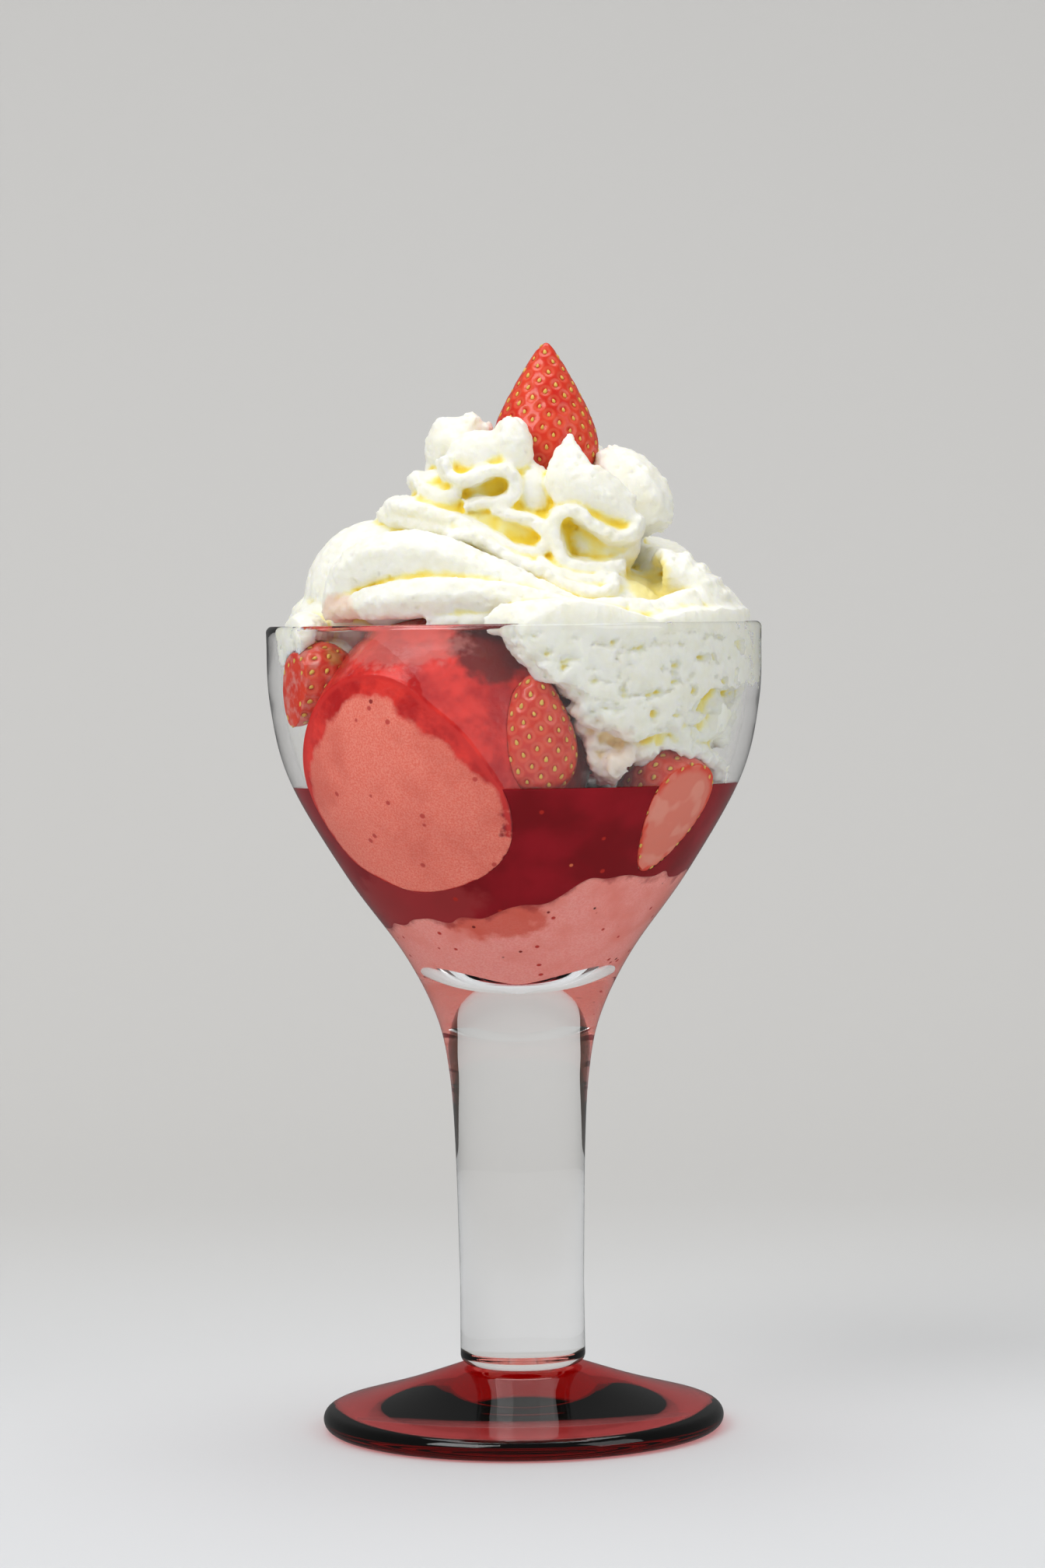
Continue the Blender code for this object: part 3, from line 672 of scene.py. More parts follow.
def seed_mesh(name, berry, seed):
    """All seeds of one strawberry as one mesh: small pointed drops that lie flat in their dimples."""
    shares, angles = seed_places(berry)
    shape = bmesh.new()
    bmesh.ops.create_icosphere(shape, subdivisions=2, radius=1)
    drop = np.array([v.co[:] for v in shape.verts])
    corners = np.array([[v.index for v in f.verts] for f in shape.faces])
    shape.free()
    drop[:, 0] *= 1 - 0.35 * drop[:, 1]
    random = np.random.default_rng(seed)
    points, faces = [], []
    for share, angle in zip(shares, angles):
        here = berry_point(share, angle, berry)
        down = berry_point(share - 0.002, angle, berry) - here
        down /= np.linalg.norm(down)
        side = np.array((-math.sin(angle), math.cos(angle), 0))
        out = np.cross(down, side)
        tilt = random.normal(0, 0.25)
        side, down = side * math.cos(tilt) + down * math.sin(tilt), down * math.cos(tilt) - side * math.sin(tilt)
        sized = drop * SEED_SIZE * random.uniform(0.85, 1.12)
        placed = here - out * DIMPLE_DEPTH * 0.62 + sized @ np.stack([side, down, out])
        placed = to_place(placed, berry)
        if shows(placed.mean(axis=0)):
            if placed[0, 2] < RIM_HEIGHT:
                placed = press_to_wall(placed, deeper=0.12 * MM)[0]
            faces.append(corners + sum(len(p) for p in points))
            points.append(placed)
    return make_mesh_object(name, np.concatenate(points), np.concatenate(faces).tolist())


def berry_skin(name, berry, grow=0.0, turns=220, rings=150, dimples=True):
    """The skin of a strawberry, with a dimple round every seed, where it lies."""
    shares = (1 - np.cos(np.pi * np.arange(rings + 1) / rings)) / 2
    angles = 2 * np.pi * np.arange(turns) / turns
    skin = berry_point(shares[1:-1, None], angles[None, :], berry).reshape(-1, 3)
    skin = np.concatenate([berry_point(shares[:1], angles[:1], berry), skin,
                           berry_point(shares[-1:], angles[:1], berry)])
    out = skin / np.linalg.norm(skin, axis=1)[:, None]
    near = np.zeros(len(skin))
    if dimples:
        seeds = berry_point(*seed_places(berry), berry)
        nearest = np.full(len(skin), 1.0)
        for place in seeds:
            nearest = np.minimum(nearest, np.linalg.norm(skin - place, axis=1))
        near = np.exp(-((nearest / DIMPLE_WIDTH) ** 2))
        skin = skin - out * (DIMPLE_DEPTH * near)[:, None]
    skin = skin + out * grow
    faces = [(0, 1 + (i + 1) % turns, 1 + i) for i in range(turns)]
    for ring in range(rings - 2):
        start = 1 + ring * turns
        for i in range(turns):
            j = (i + 1) % turns
            faces.append((start + i, start + j, start + turns + j, start + turns + i))
    last = len(skin) - 1
    start = last - turns
    faces += [(last, start + i, start + (i + 1) % turns) for i in range(turns)]
    made = make_mesh_object(name, to_place(skin, berry), faces)
    keep(made.data, "dimple", near)
    return made


berries = {"top": TOP_BERRY, "front": FRONT_BERRY, "right": RIGHT_BERRY, "left": LEFT_BERRY}
skins, seeds = {}, {}
for order, (place, berry) in enumerate(berries.items()):
    skin = berry_skin(f"berry_{place}", berry)
    if place != "top":
        pressed, pushed = press_to_wall(points_of(skin.data), deeper=0.08 * MM)
        set_points(skin.data, pressed)
        keep(skin.data, "pushed_mm", pushed / MM)
    skins[place] = skin
    seeds[place] = seed_mesh(f"seeds_{place}", berry, order)
    print(place, "strawberry:", len(skin.data.polygons), "faces, seeds:", len(seeds[place].data.polygons))

# %% [markdown]
# ## Piped cream
# Whipped cream leaves a star nozzle as a ridged rope, and folds over itself as the hand moves. So it
# is built the way it is served: ropes swept along smooth tracks, thin folds piped again and again
# behind themselves, and soft masses under them. A voxel remesh then gives the heap one skin.

# %% Ropes, folds and masses
# Stations of each piped rope are (x, y, z, radius) in millimetres, from one end to the other.
SMOOTH_ROPES = (
    # the wide roll that climbs from the left and sweeps down across the front
    ((-35.5, -20, 167.6, 3.4), (-33.8, -22, 172.4, 4.2), (-30.6, -24, 176.8, 5), (-24.5, -26.5, 179, 5.4),
     (-17, -28.5, 178.8, 5.5), (-9, -30, 176, 5.2), (-1, -31, 173, 4.8), (6, -31.5, 169.8, 4.2),
     (13, -31, 167.2, 3.8), (22, -28.5, 166, 4)),
    # the band that hangs just over the rim in front of it, and the ragged one behind its lower edge
    ((-36.4, -23, 168.6, 1.6), (-31.5, -27.5, 169.4, 2.6), (-25, -31, 170.6, 3.9), (-18, -33.6, 171, 4.2),
     (-10.5, -35.6, 171.6, 3.5), (-2, -37, 171, 3.1), (5, -37, 169.2, 3.5), (13, -36, 166.9, 3.8),
     (20, -34, 166.6, 4.4), (27, -30.5, 166, 4.6), (33, -25, 165.4, 4.8)),
    ((-17, -34, 166.6, 2.4), (-10, -35.5, 166.4, 2.2), (-3, -36, 166.2, 2.3), (5, -36, 165.4, 2.6)),
    # the ring round the back that the top ruffle sits on
    ((31, -11, 167, 3), (30, -6, 171, 5.6), (31, 4, 173, 8.4), (27, 17, 174.5, 10), (15, 28, 175, 11),
     (0, 32, 175, 11),
     (-16, 27, 174.5, 11), (-27, 15, 173.5, 10), (-29, 4, 171, 7.5), (-28, -4, 168, 4)),
    ((-17, 4, 186, 4), (-17, 10, 188, 6), (-12, 17, 188, 7), (0, 20, 188, 7.5), (13, 17, 187.5, 7),
     (21, 10, 187, 7), (24, 3, 185, 4.6)),
    # the petals that hold the strawberry: front right, right, left and two behind
    ((23, -14.5, 187, 4.6), (17.6, -15.5, 190.4, 6), (12.6, -15.4, 194, 6.2), (11.6, -14, 199, 3.7),
     (11.9, -12, 203.4, 0.9)),
    ((27, -3, 184, 6), (25, -2, 190, 8), (21.8, -1, 196, 6.6), (18.6, 0, 200.5, 3)),
    ((-13, 0, 190, 6), (-12.4, 1, 197, 5.8), (-11.6, 1, 202.6, 5.6)),
    ((-2, 16, 191, 6), (0, 14.5, 198, 6), (2.5, 13, 203.5, 4.6), (5, 11.5, 207.5, 1.4)),
    ((17, 14, 189, 6.4), (16, 12.5, 196, 6.4), (14, 11, 201.5, 4.4), (11.5, 9.5, 205.5, 1.4)),
    # the leaf in front of the right-hand ruffle
    ((26, -29, 165, 2.4), (31.5, -26.5, 168, 3.4), (37, -21, 169, 3.6), (41.5, -13, 167.6, 3.8)),
    # under the rim: the mass that is pressed along the glass from the front to the right
    ((-5.4, -42.4, 165.6, 1.8), (-1, -43, 166, 4.2), (6, -42.6, 163.6, 8), (12.8, -41.4, 161.4, 10),
     (19.4, -39, 158.4, 11),
     (25.2, -35.4, 156.6, 11.3), (31, -30.6, 159.4, 9.8), (36.8, -23.6, 160.6, 9), (41, -15, 160.6, 9),
     (43.2, -6, 160, 9), (42, 4, 157, 5)),
    ((13.6, -41.4, 152, 4.4), (19.4, -39.4, 148, 5.2), (25.6, -35.6, 147, 4.6), (31, -31, 148.6, 3.2)),
    # the strands that lie one below the other beside the wall at the right
    ((26, -36, 153.6, 1.6), (32.6, -31.2, 154, 1.5), (38.6, -23.6, 153.8, 1.5), (43.4, -12.6, 153.2, 1.5)),
    ((24.6, -37, 150, 1.6), (31.6, -32, 150.7, 1.4), (38, -24.4, 150.4, 1.4), (43, -13, 149.8, 1.5)),
    ((23.4, -37.4, 146.4, 1.7), (31, -32, 147.3, 1.4), (37.4, -24.6, 146.9, 1.4), (42.4, -13, 146.2, 1.5)),
    ((20.6, -38, 142.8, 1.5), (26.4, -35.2, 144.2, 1.5), (33, -29.6, 143.4, 1.5), (38.6, -21.4, 143.6, 1.5),
     (42, -12, 142.4, 1.7)),
    ((18.8, -38.4, 136.8, 1.4), (20, -38, 139.4, 1.6), (25.6, -35, 141, 1.6), (31.4, -30.6, 141.4, 1.5),
     (36.4, -25, 140, 1.5), (39.6, -18, 137.4, 1.7), (40.4, -13, 134.6, 2)),
    # and the two ends that droop beside the front strawberry
    ((13.6, -35, 147.6, 3.2), (15.2, -36.4, 143, 2.8), (17, -36.4, 138.8, 2.6), (18.4, -34, 135, 2.2)),
    ((20.6, -34.6, 146, 3), (20.2, -35.6, 142.4, 2.2), (19.6, -36, 139.6, 1.6)),
)
# The right-hand ruffle is a fan: each pleat runs from the fan's hinge to (x, z) on its torn edge.
FAN_HINGE = (31, -13, 169.6)
FAN_EDGE = ((32.6, 180.6), (36.4, 179.6), (39.6, 177.4), (42.4, 174.8), (44.6, 171.8), (46, 168.4))
FAN_RADIUS = 1.7         # mm
# Thin folds of the ruffle. Each is piped again behind itself, thicker every time.
FOLDS = (
    ((-13.4, -16, 199.6, 1.1), (-12.8, -17, 196.4, 1.3), (-10.4, -18, 194.8, 1.4), (-7.4, -18.5, 195.3, 1.4),
     (-4, -18.6, 196.4, 1.4), (-1, -18.5, 196.4, 1.4), (0.6, -18.5, 194.3, 1.3), (0.2, -18.5, 191.6, 1.3),
     (-2.4, -18.5, 190.2, 1.3), (-6, -18.5, 190.2, 1.2), (-9.4, -18, 189.6, 1)),
    ((-4, -19, 188.6, 0.9), (0, -20, 187.5, 1.2), (3.7, -20.6, 186.3, 1.3), (6.6, -21, 184.2, 1.4),
     (6.6, -21, 181.6, 1.4), (4.2, -21.5, 179.8, 1.4), (0.6, -22, 180.5, 1.4), (-2.6, -22, 182.2, 1.3),
     (-6.4, -21.6, 184.4, 1.3), (-11, -20.6, 186.4, 1.3), (-16.4, -18.6, 188.2, 1.4), (-21, -16, 189.6, 1.5),
     (-25, -12, 189.6, 1.4)),
    ((22.4, -21, 177.2, 1.2), (18.2, -22, 176.5, 1.4), (14, -22.6, 176.8, 1.4), (10.6, -22.5, 177.8, 1.4),
     (9.4, -22, 180, 1.4), (8.6, -21.6, 182.8, 1.4), (8.5, -21.5, 185.6, 1.4), (9.8, -21.5, 187.8, 1.4),
     (12.2, -21.5, 188.2, 1.4), (15, -21.5, 186.6, 1.4), (18, -21.5, 184.3, 1.4), (21, -20.6, 183, 1.5),
     (24, -19, 183.6, 1.5), (25.4, -17, 187, 1.4)),
    ((-13.4, -24, 183.4, 1.2), (-8.5, -24.6, 183.4, 1.3), (-4.6, -25, 181.4, 1.3), (-1, -25.6, 179, 1.4),
     (3.2, -26.4, 177, 1.4), (6.8, -27, 175.8, 1.3), (9.8, -27.4, 173.6, 1.3), (13.6, -27.4, 172.2, 1.3),
     (17.2, -27, 171.8, 1.3), (19.6, -26, 172.6, 1.3), (20.8, -24.4, 175, 1.1)),
    ((5, -23.6, 178.4, 1), (9.6, -25, 175.6, 1.2), (14.4, -25, 174.4, 1.2), (19, -24, 174.6, 1.1)),
    ((-20, -9, 196, 1.2), (-17.6, -12.4, 193, 1.4), (-14, -15, 191.6, 1.4), (-10.4, -16.6, 192.2, 1.1)),
    ((-26.4, -9, 188.4, 1.4), (-22, -14, 186.8, 1.4), (-17, -18, 185.2, 1.4), (-12, -20.4, 184.6, 1.2)),
)
FOLD_LAYERS = 4
FOLD_STEP = 1.7          # mm from one layer of a fold to the next
FOLD_SWELL = 0.28        # mm of radius that each layer adds
MASSES = (
    # centre and radii of the cream that carries the folds, in millimetres
    ((-27, -2, 171.5), (15.8, 17, 15.8)), ((1, 0, 168), (34, 31, 12)), ((2, 3, 186), (20, 16, 14)),
    ((-16, -19, 172), (17, 10, 9)), ((14, -17, 168), (16, 10, 8)), ((35, -8, 167), (12, 13, 8)),
    # the lobes of the ruffle's left side, stepping up to the top
    ((-22, -6, 187.6), (4.6, 7, 4.2)), ((-16, -5, 193), (4.4, 7, 4.4)), ((-11.4, -1, 202), (6.4, 6.6, 6.2)),
    ((-13.6, -2, 205.4), (2.8, 3, 2.6)), ((-8.6, -2, 206.2), (2.8, 3, 2.6)), ((-5.6, -1, 205), (2, 2.6, 2.2)),
    # the broad lobe above the first fold, and the cream under the others
    ((-6.4, -11, 199.4), (6.8, 5.6, 5.6)), ((0, -11, 200.6), (4.5, 5.6, 7.2)), ((3.8, -11, 191), (5, 6, 7.5)),
    ((-5, -10, 192.4), (8, 5, 6)), ((17, -11, 182), (9, 6, 8)), ((-2, -12.4, 184), (15, 7, 6)),
    ((-13.6, -11, 189.4), (6.4, 5, 5)),
    # under the rim
    ((23, -29, 146), (10, 8, 8)), ((34, -18, 148), (8, 10, 9)),
    ((4, 24, 152), (42, 26, 19)), ((26, 4, 150), (20, 34, 16)), ((22, -15, 146), (14, 15, 9)),
    ((-42, -17, 163), (5.2, 7.4, 5.6)), ((-30, 0, 167), (16, 18, 8)), ((-20, 8, 144), (20, 32, 24)),
)


def nozzle_mouth(name, ribs, depth):
    """The mouth of a piping nozzle, one unit in radius, as a closed curve with shallow ribs."""
    curve = bpy.data.curves.new(name, "CURVE")
    curve.dimensions = "2D"
    spline = curve.splines.new("POLY")
    corners = ribs * 10
    spline.points.add(corners - 1)
    for i in range(corners):
        angle = 2 * math.pi * i / corners
        radius = 1 - depth / 2 + depth / 2 * math.cos(ribs * angle)
        spline.points[i].co = (radius * math.cos(angle), radius * math.sin(angle), 0, 1)
    spline.use_cyclic_u = True
    mouth = bpy.data.objects.new(name, curve)
    bpy.context.scene.collection.objects.link(mouth)
    return mouth


def pipe_rope(stations, mouth, back=0.0, swell=0.0, per_span=10):
    """A rope of cream through its stations, as a mesh, moved back and thickened if asked."""
    track = through([Vector(station) * MM for station in stations], per_span)
    curve = bpy.data.curves.new("rope", "CURVE")
    curve.dimensions = "3D"
    curve.bevel_mode = "OBJECT"
    curve.bevel_object = mouth
    curve.use_fill_caps = True
    spline = curve.splines.new("POLY")
    spline.points.add(len(track) - 1)
    for point, station in zip(spline.points, track):
        point.co = (station[0], station[1] + back * MM, station[2], 1)
        point.radius = station[3] + swell * MM
    rope = bpy.data.objects.new("rope", curve)
    bpy.context.scene.collection.objects.link(rope)
    bpy.context.view_layer.update()
    mesh = bpy.data.meshes.new_from_object(rope.evaluated_get(bpy.context.evaluated_depsgraph_get()))
    discard(rope)
    return mesh


def lump(centre, radii):
    """A smooth egg-shaped mass of cream, as a mesh."""
    shape = bmesh.new()
    bmesh.ops.create_uvsphere(shape, u_segments=64, v_segments=40, radius=MM)
    bmesh.ops.scale(shape, verts=shape.verts[:], vec=radii)
    bmesh.ops.translate(shape, verts=shape.verts[:], vec=Vector(centre) * MM)
    mesh = bpy.data.meshes.new("lump")
    shape.to_mesh(mesh)
    shape.free()
    return mesh


def pleat(x, z):
    """One pleat of the fan, from its hinge out over its edge at (x, z) and down behind."""
    hinge_x, hinge_y, hinge_z = FAN_HINGE
    middle = (0.45 * hinge_x + 0.55 * x, hinge_y - 7, 0.45 * hinge_z + 0.55 * z)
    r = FAN_RADIUS
    return ((hinge_x, hinge_y, hinge_z, 0.8 * r), (*middle, r), (x - r, hinge_y, z - r, 1.15 * r),
            (x - 2 * r, hinge_y + 12, z - 3 * r, 1.5 * r))


smooth_mouth = nozzle_mouth("smooth nozzle", 6, 0.08)
loose = [pipe_rope(rope, smooth_mouth) for rope in (*SMOOTH_ROPES, *(pleat(*end) for end in FAN_EDGE))]
for fold in FOLDS:
    for layer in range(FOLD_LAYERS):
        loose.append(pipe_rope(fold, smooth_mouth, layer * FOLD_STEP, layer * FOLD_SWELL, 8))
loose += [lump(centre, radii) for centre, radii in MASSES]
discard(smooth_mouth)
print("pieces of cream before they join:", len(loose))

# %% One skin
CREAM_VOXEL = 0.55 * MM


def one_skin(name, meshes, voxel):
    """Joins overlapping meshes under a single skin."""
    shape = bmesh.new()
    for mesh in meshes:
        shape.from_mesh(mesh)
        bpy.data.meshes.remove(mesh)
    bmesh.ops.remove_doubles(shape, verts=shape.verts[:], dist=1e-6)
    joined = bpy.data.meshes.new(name)
    shape.to_mesh(joined)
    shape.free()
    made = bpy.data.objects.new(name, joined)
    bpy.context.scene.collection.objects.link(made)
    skin = made.modifiers.new("one skin", "REMESH")
    skin.mode = "VOXEL"
    skin.voxel_size = voxel
    return cut_away(made)


def edges_of(mesh):
    found = np.empty(len(mesh.edges) * 2, dtype=np.int64)
    mesh.edges.foreach_get("vertices", found)
    return found.reshape(-1, 2)


def relaxed(values, edges, rounds):
    """Each vertex's value averaged with its neighbours', again and again."""
    found = values.reshape(len(values), -1).copy()
    ends = np.concatenate([edges[:, 0], edges[:, 1]])
    others = np.concatenate([edges[:, 1], edges[:, 0]])
    count = np.maximum(np.bincount(ends, minlength=len(values)), 1)
    for _ in range(rounds):
        for column in range(found.shape[1]):
            total = np.bincount(ends, weights=found[others, column], minlength=len(values))
            found[:, column] = 0.5 * found[:, column] + 0.5 * total / count
    return found.reshape(values.shape)


def normals_of(mesh):
    found = np.empty(len(mesh.vertices) * 3)
    mesh.vertex_normals.foreach_get("vector", found)
    return found.reshape(-1, 3)


cream = one_skin("piped_cream", loose, CREAM_VOXEL)
print("cream:", len(cream.data.vertices), "points under one skin")

# %% Torn ridges and small pits
RIDGE_TEAR = 0.9 * MM
SURFACE_GRAIN = 0.3 * MM
PIT_DEPTH = 0.35 * MM
RAGGED_EDGE = 1.5 * MM
POCKET_DEPTH = 1.9 * MM
CREAM_TRIANGLES = 192000

edges = edges_of(cream.data)
points = points_of(cream.data)
normals = normals_of(cream.data)
points = relaxed(points, edges, 2)
hills = ((points - relaxed(points, edges, 14)) * normals).sum(axis=1) / MM
ridge = np.clip(hills / 0.35, 0, 1)
tear = waves(points, 1.6 * MM, 1, 3)
grain = waves(points, 3.6 * MM, 2, 4)
pits = np.clip(waves(points, 1.1 * MM, 3, 1) - 0.38, 0, 1) * 4
relief = RIDGE_TEAR * ridge * tear + SURFACE_GRAIN * grain - PIT_DEPTH * pits
in_bowl = np.clip((RIM_HEIGHT - points[:, 2]) / (3 * MM), 0, 1)
relief += in_bowl * RAGGED_EDGE * waves(points * (1, 1, 0.75), 5.5 * MM, 4, 4)
points += normals * relief[:, None]
points, pushed = press_to_wall(points)
pockets = np.clip(waves(points * (1, 1, 1.5), 3.4 * MM, 5, 4) - 0.12, 0, 1) * in_bowl * POCKET_DEPTH
radius = np.hypot(points[:, 0], points[:, 1])
points[:, :2] *= (1 - pockets / np.maximum(radius, 1e-6))[:, None]
set_points(cream.data, points)
print("ridges are", round(100 * float((ridge > 0.5).mean())), "% of the skin")

# %% Make way for the other pieces
block = layer_mesh("block", sauce_level, lambda x, y: bed_level(x, y) * 0 + 100 * MM, 4, 4)
scoop_room = ball("scoop room", 6, grow=0.05 * MM)
rooms = [berry_skin("room", berry, 0.05 * MM, 96, 60, dimples=False) for berry in berries.values()]
window = berry_skin("window", FRONT_BERRY, 0.3 * MM, 96, 60, dimples=False)
window.location.y -= 7 * MM
cut_away(cream, block, scoop_room, window, *rooms)
simpler = cream.modifiers.new("fewer faces where it is smooth", "DECIMATE")
simpler.ratio = CREAM_TRIANGLES / triangles_in(cream)
cut_away(cream)
print("cream:", triangles_in(cream), "triangles once cut and simplified")

# %% Cut the sauce, the scoop and the bed round each other
cut_away(sauce, scoop_room, *rooms[1:])
cut_away(scoop, *rooms[1:])
cut_away(bed, rooms[2])
discard(block, scoop_room, window, *rooms)

points = points_of(cream.data)
edges = edges_of(cream.data)
normals = normals_of(cream.data)
fine = ((relaxed(points, edges, 10) - points) * normals).sum(axis=1) / MM
broad = ((relaxed(points, edges, 60) - points) * normals).sum(axis=1) / MM
fold_depth = relaxed(np.clip(fine * 1.6 + broad * 0.7, -1, 2), edges, 3)
keep(cream.data, "fold_depth", fold_depth)
print("folds from", np.round(np.percentile(fold_depth, (1, 25, 50, 75, 99)), 2))


# %% [markdown]
# ## Food finishes
# Ice cream is frozen foam: matt, with ice grains of a third of a millimetre and specks of fruit.
# Sauce and strawberry skin are wet, so they are smooth and shine. Cream is white on its outside,
# and inside a fold its colour is painted yellow: painted bounce light, for light that has bounced
# about in the fold. Each finish mixes two or three colours by noise at real scale, or by what the
# mesh keeps about itself.


# %% Node shortcuts for patterns
def grains(tree, size_mm, detail=2.0, roughness=0.5):
    """Noise whose features are about size_mm across."""
    place = add_node(tree, "TexCoord").outputs["Object"]
    return add_node(
        tree, "TexNoise", {"Vector": place, "Scale": 1000 / size_mm, "Detail": detail, "Roughness": roughness}
    ).outputs["Fac"]


def specks(tree, spacing_mm, size_mm, seed=0.0, keep_share=1.0):
    """Scattered spots: 1 inside a spot, 0 outside. Some of the cells stay empty."""
    place = add_node(tree, "TexCoord").outputs["Object"]
    moved = add_node(tree, "VectorMath", {0: place, 1: (seed, seed * 2, seed * 3)}, operation="ADD")
    cells = add_node(tree, "TexVoronoi", {"Vector": moved.outputs[0], "Scale": 1000 / spacing_mm, "Randomness": 1.0})
    edge = size_mm / spacing_mm / 2
    spot = add_node(
        tree, "MapRange", {0: cells.outputs["Distance"], 1: edge * 0.8, 2: edge * 1.2, 3: 1.0, 4: 0.0}
    )
    pick = add_node(tree, "SeparateColor", {0: cells.outputs["Color"]})
    chosen = add_node(tree, "Math", {0: pick.outputs[0], 1: keep_share}, operation="LESS_THAN")
    return add_node(tree, "Math", {0: spot.outputs[0], 1: chosen.outputs[0]}, operation="MULTIPLY").outputs[0]


def blend(tree, factor, first, second):
    """A colour mix. first and second are hex codes or colour outputs."""
    made = add_node(tree, "Mix", data_type="RGBA")
    for socket, value in ((made.inputs[6], first), (made.inputs[7], second)):
        if isinstance(value, str):
            socket.default_value = colour(value)
        else:
            tree.links.new(value, socket)
    if isinstance(factor, float):
        made.inputs[0].default_value = factor
    else:
        tree.links.new(factor, made.inputs[0])
    return made.outputs[2]


def between(tree, value, low, high):
    """0 below low, 1 above high, and smooth between."""
    return add_node(
        tree, "MapRange", {0: value, 1: low, 2: high, 3: 0.0, 4: 1.0}, interpolation_type="SMOOTHSTEP"
    ).outputs[0]


def around(tree, centre, radii, ragged=0.0, grain_mm=3.0, soft=0.2):
    """1 inside an egg-shaped region given in millimetres, 0 outside it, with a ragged edge."""
    place = add_node(tree, "TexCoord").outputs["Object"]
    offset = add_node(tree, "VectorMath", {0: place, 1: [v * MM for v in centre]}, operation="SUBTRACT")
    scaled = add_node(
        tree, "VectorMath", {0: offset.outputs[0], 1: [v * MM for v in radii]}, operation="DIVIDE"
    )
    away = add_node(tree, "VectorMath", {0: scaled.outputs[0]}, operation="LENGTH").outputs["Value"]
    noisy = add_node(
        tree, "Math", {0: grains(tree, grain_mm, 4.0), 1: 2 * ragged, 2: away}, operation="MULTIPLY_ADD"
    )
    edge = 1 + ragged
    return add_node(
        tree, "MapRange", {0: noisy.outputs[0], 1: edge - soft, 2: edge + soft, 3: 1.0, 4: 0.0},
        interpolation_type="SMOOTHSTEP",
    ).outputs[0]


def product(tree, first, second):
    return add_node(tree, "Math", {0: first, 1: second}, operation="MULTIPLY").outputs[0]


def kept(tree, name):
    """The number that a mesh keeps for each vertex."""
    return add_node(tree, "Attribute", attribute_name=name).outputs["Fac"]


def bumps(tree, height, depth_mm):
    return add_node(tree, "Bump", {"Height": height, "Distance": depth_mm * MM, "Strength": 1.0}).outputs[0]


def food(tree, base, roughness, bump=None, **settings):
    """A Principled shader with its output. settings are constants for its own sockets."""
    names = {
        "ior": "IOR", "coat": "Coat Weight", "coat_roughness": "Coat Roughness",
        "inner": "Subsurface Weight", "inner_scale": "Subsurface Scale", "inner_radius": "Subsurface Radius",
    }
    inputs = {"Base Color": base, "Roughness": roughness}
    inputs.update({names[key]: value for key, value in settings.items()})
    if bump is not None:
        inputs["Normal"] = bump
    shader = add_node(tree, "BsdfPrincipled", inputs)
    add_node(tree, "OutputMaterial", {"Surface": shader.outputs[0]})
    return shader


# %% Ice cream
ice_cream, tree = new_material("churned strawberry ice cream")
frost = between(tree, grains(tree, 0.4, 2.0), 0.3, 0.7)
patches = between(tree, grains(tree, 8.0, 2.0), 0.4, 0.75)
base = blend(tree, frost, "F6938A", "FCA69C")
base = blend(tree, patches, base, "F08A7E")
base = blend(tree, product(tree, around(tree, (-4, -28, 108), (9, 20, 4), 0.5), 0.75), base, "D8543F")
near_sauce = add_node(
    tree, "Math", {0: grains(tree, 3.0, 4.0), 1: 4.5, 2: kept(tree, "below_top")}, operation="MULTIPLY_ADD"
).outputs[0]
base = blend(tree, product(tree, between(tree, near_sauce, 3.6, 1.6), 0.8), base, "A23436")
base = blend(tree, specks(tree, 3.0, 0.9, 0.3, 0.35), base, "C23A34")
base = blend(tree, specks(tree, 5.0, 0.7, 0.9, 0.5), base, "7A2420")
base = blend(tree, specks(tree, 9.0, 0.8, 0.4, 0.5), base, "2A0C0A")
food(tree, base, 0.75, bumps(tree, grains(tree, 0.6, 3.0), 0.08), ior=1.08, inner=0.15, inner_scale=0.002)

scoop_finish, tree = new_material("pressed strawberry ice cream in a sauce coat")
push = kept(tree, "pushed_mm")
uneven = add_node(tree, "Math", {0: grains(tree, 4.0, 3.0), 1: 2.0, 2: -1.0}, operation="MULTIPLY_ADD").outputs[0]
# towards the sauce at the lower right, the patch breaks up
melting = around(tree, (6, -34, 118), (17, 22, 15), 0.2)
wilder = add_node(tree, "Math", {0: melting, 1: 2.2, 2: 1.0}, operation="MULTIPLY_ADD").outputs[0]
push_uneven = add_node(
    tree, "Math", {0: uneven, 1: wilder, 2: push}, operation="MULTIPLY_ADD"
).outputs[0]
height = add_node(tree, "SeparateXYZ", {0: add_node(tree, "TexCoord").outputs["Object"]}).outputs[2]
rim_band = between(tree, height, 0.128, 0.148)
band_inner = add_node(tree, "Math", {0: rim_band, 1: 2.0, 2: 0.3}, operation="MULTIPLY_ADD").outputs[0]
past_band = add_node(tree, "Math", {0: push_uneven, 1: band_inner}, operation="SUBTRACT").outputs[0]
bare = between(tree, past_band, -0.3, 0.5)
frost = between(tree, grains(tree, 0.35, 2.0), 0.3, 0.7)
patch = blend(tree, frost, "F27360", "FA907E")
patch = blend(tree, product(tree, between(tree, grains(tree, 11.0, 3.0), 0.4, 0.7), 0.5), patch, "D65C4E")
patch = blend(tree, specks(tree, 3.4, 1.1, 0.1, 0.35), patch, "CC4A42")
patch = blend(tree, specks(tree, 6.0, 0.9, 0.7, 0.4), patch, "9A2C28")
patch = blend(tree, specks(tree, 11.0, 1.1, 0.2, 0.5), patch, "5E1616")
coat = blend(tree, between(tree, grains(tree, 7.0, 4.0, 0.6), 0.35, 0.65), "BC1A1C", "EC3A32")
coat = blend(tree, melting, coat, "8E1822")
# painted shade: the coat turns deep red under the cream that overhangs it
coat = blend(tree, around(tree, (-4, -40, 161), (8, 20, 6.5), 0.5), coat, "7C1614")
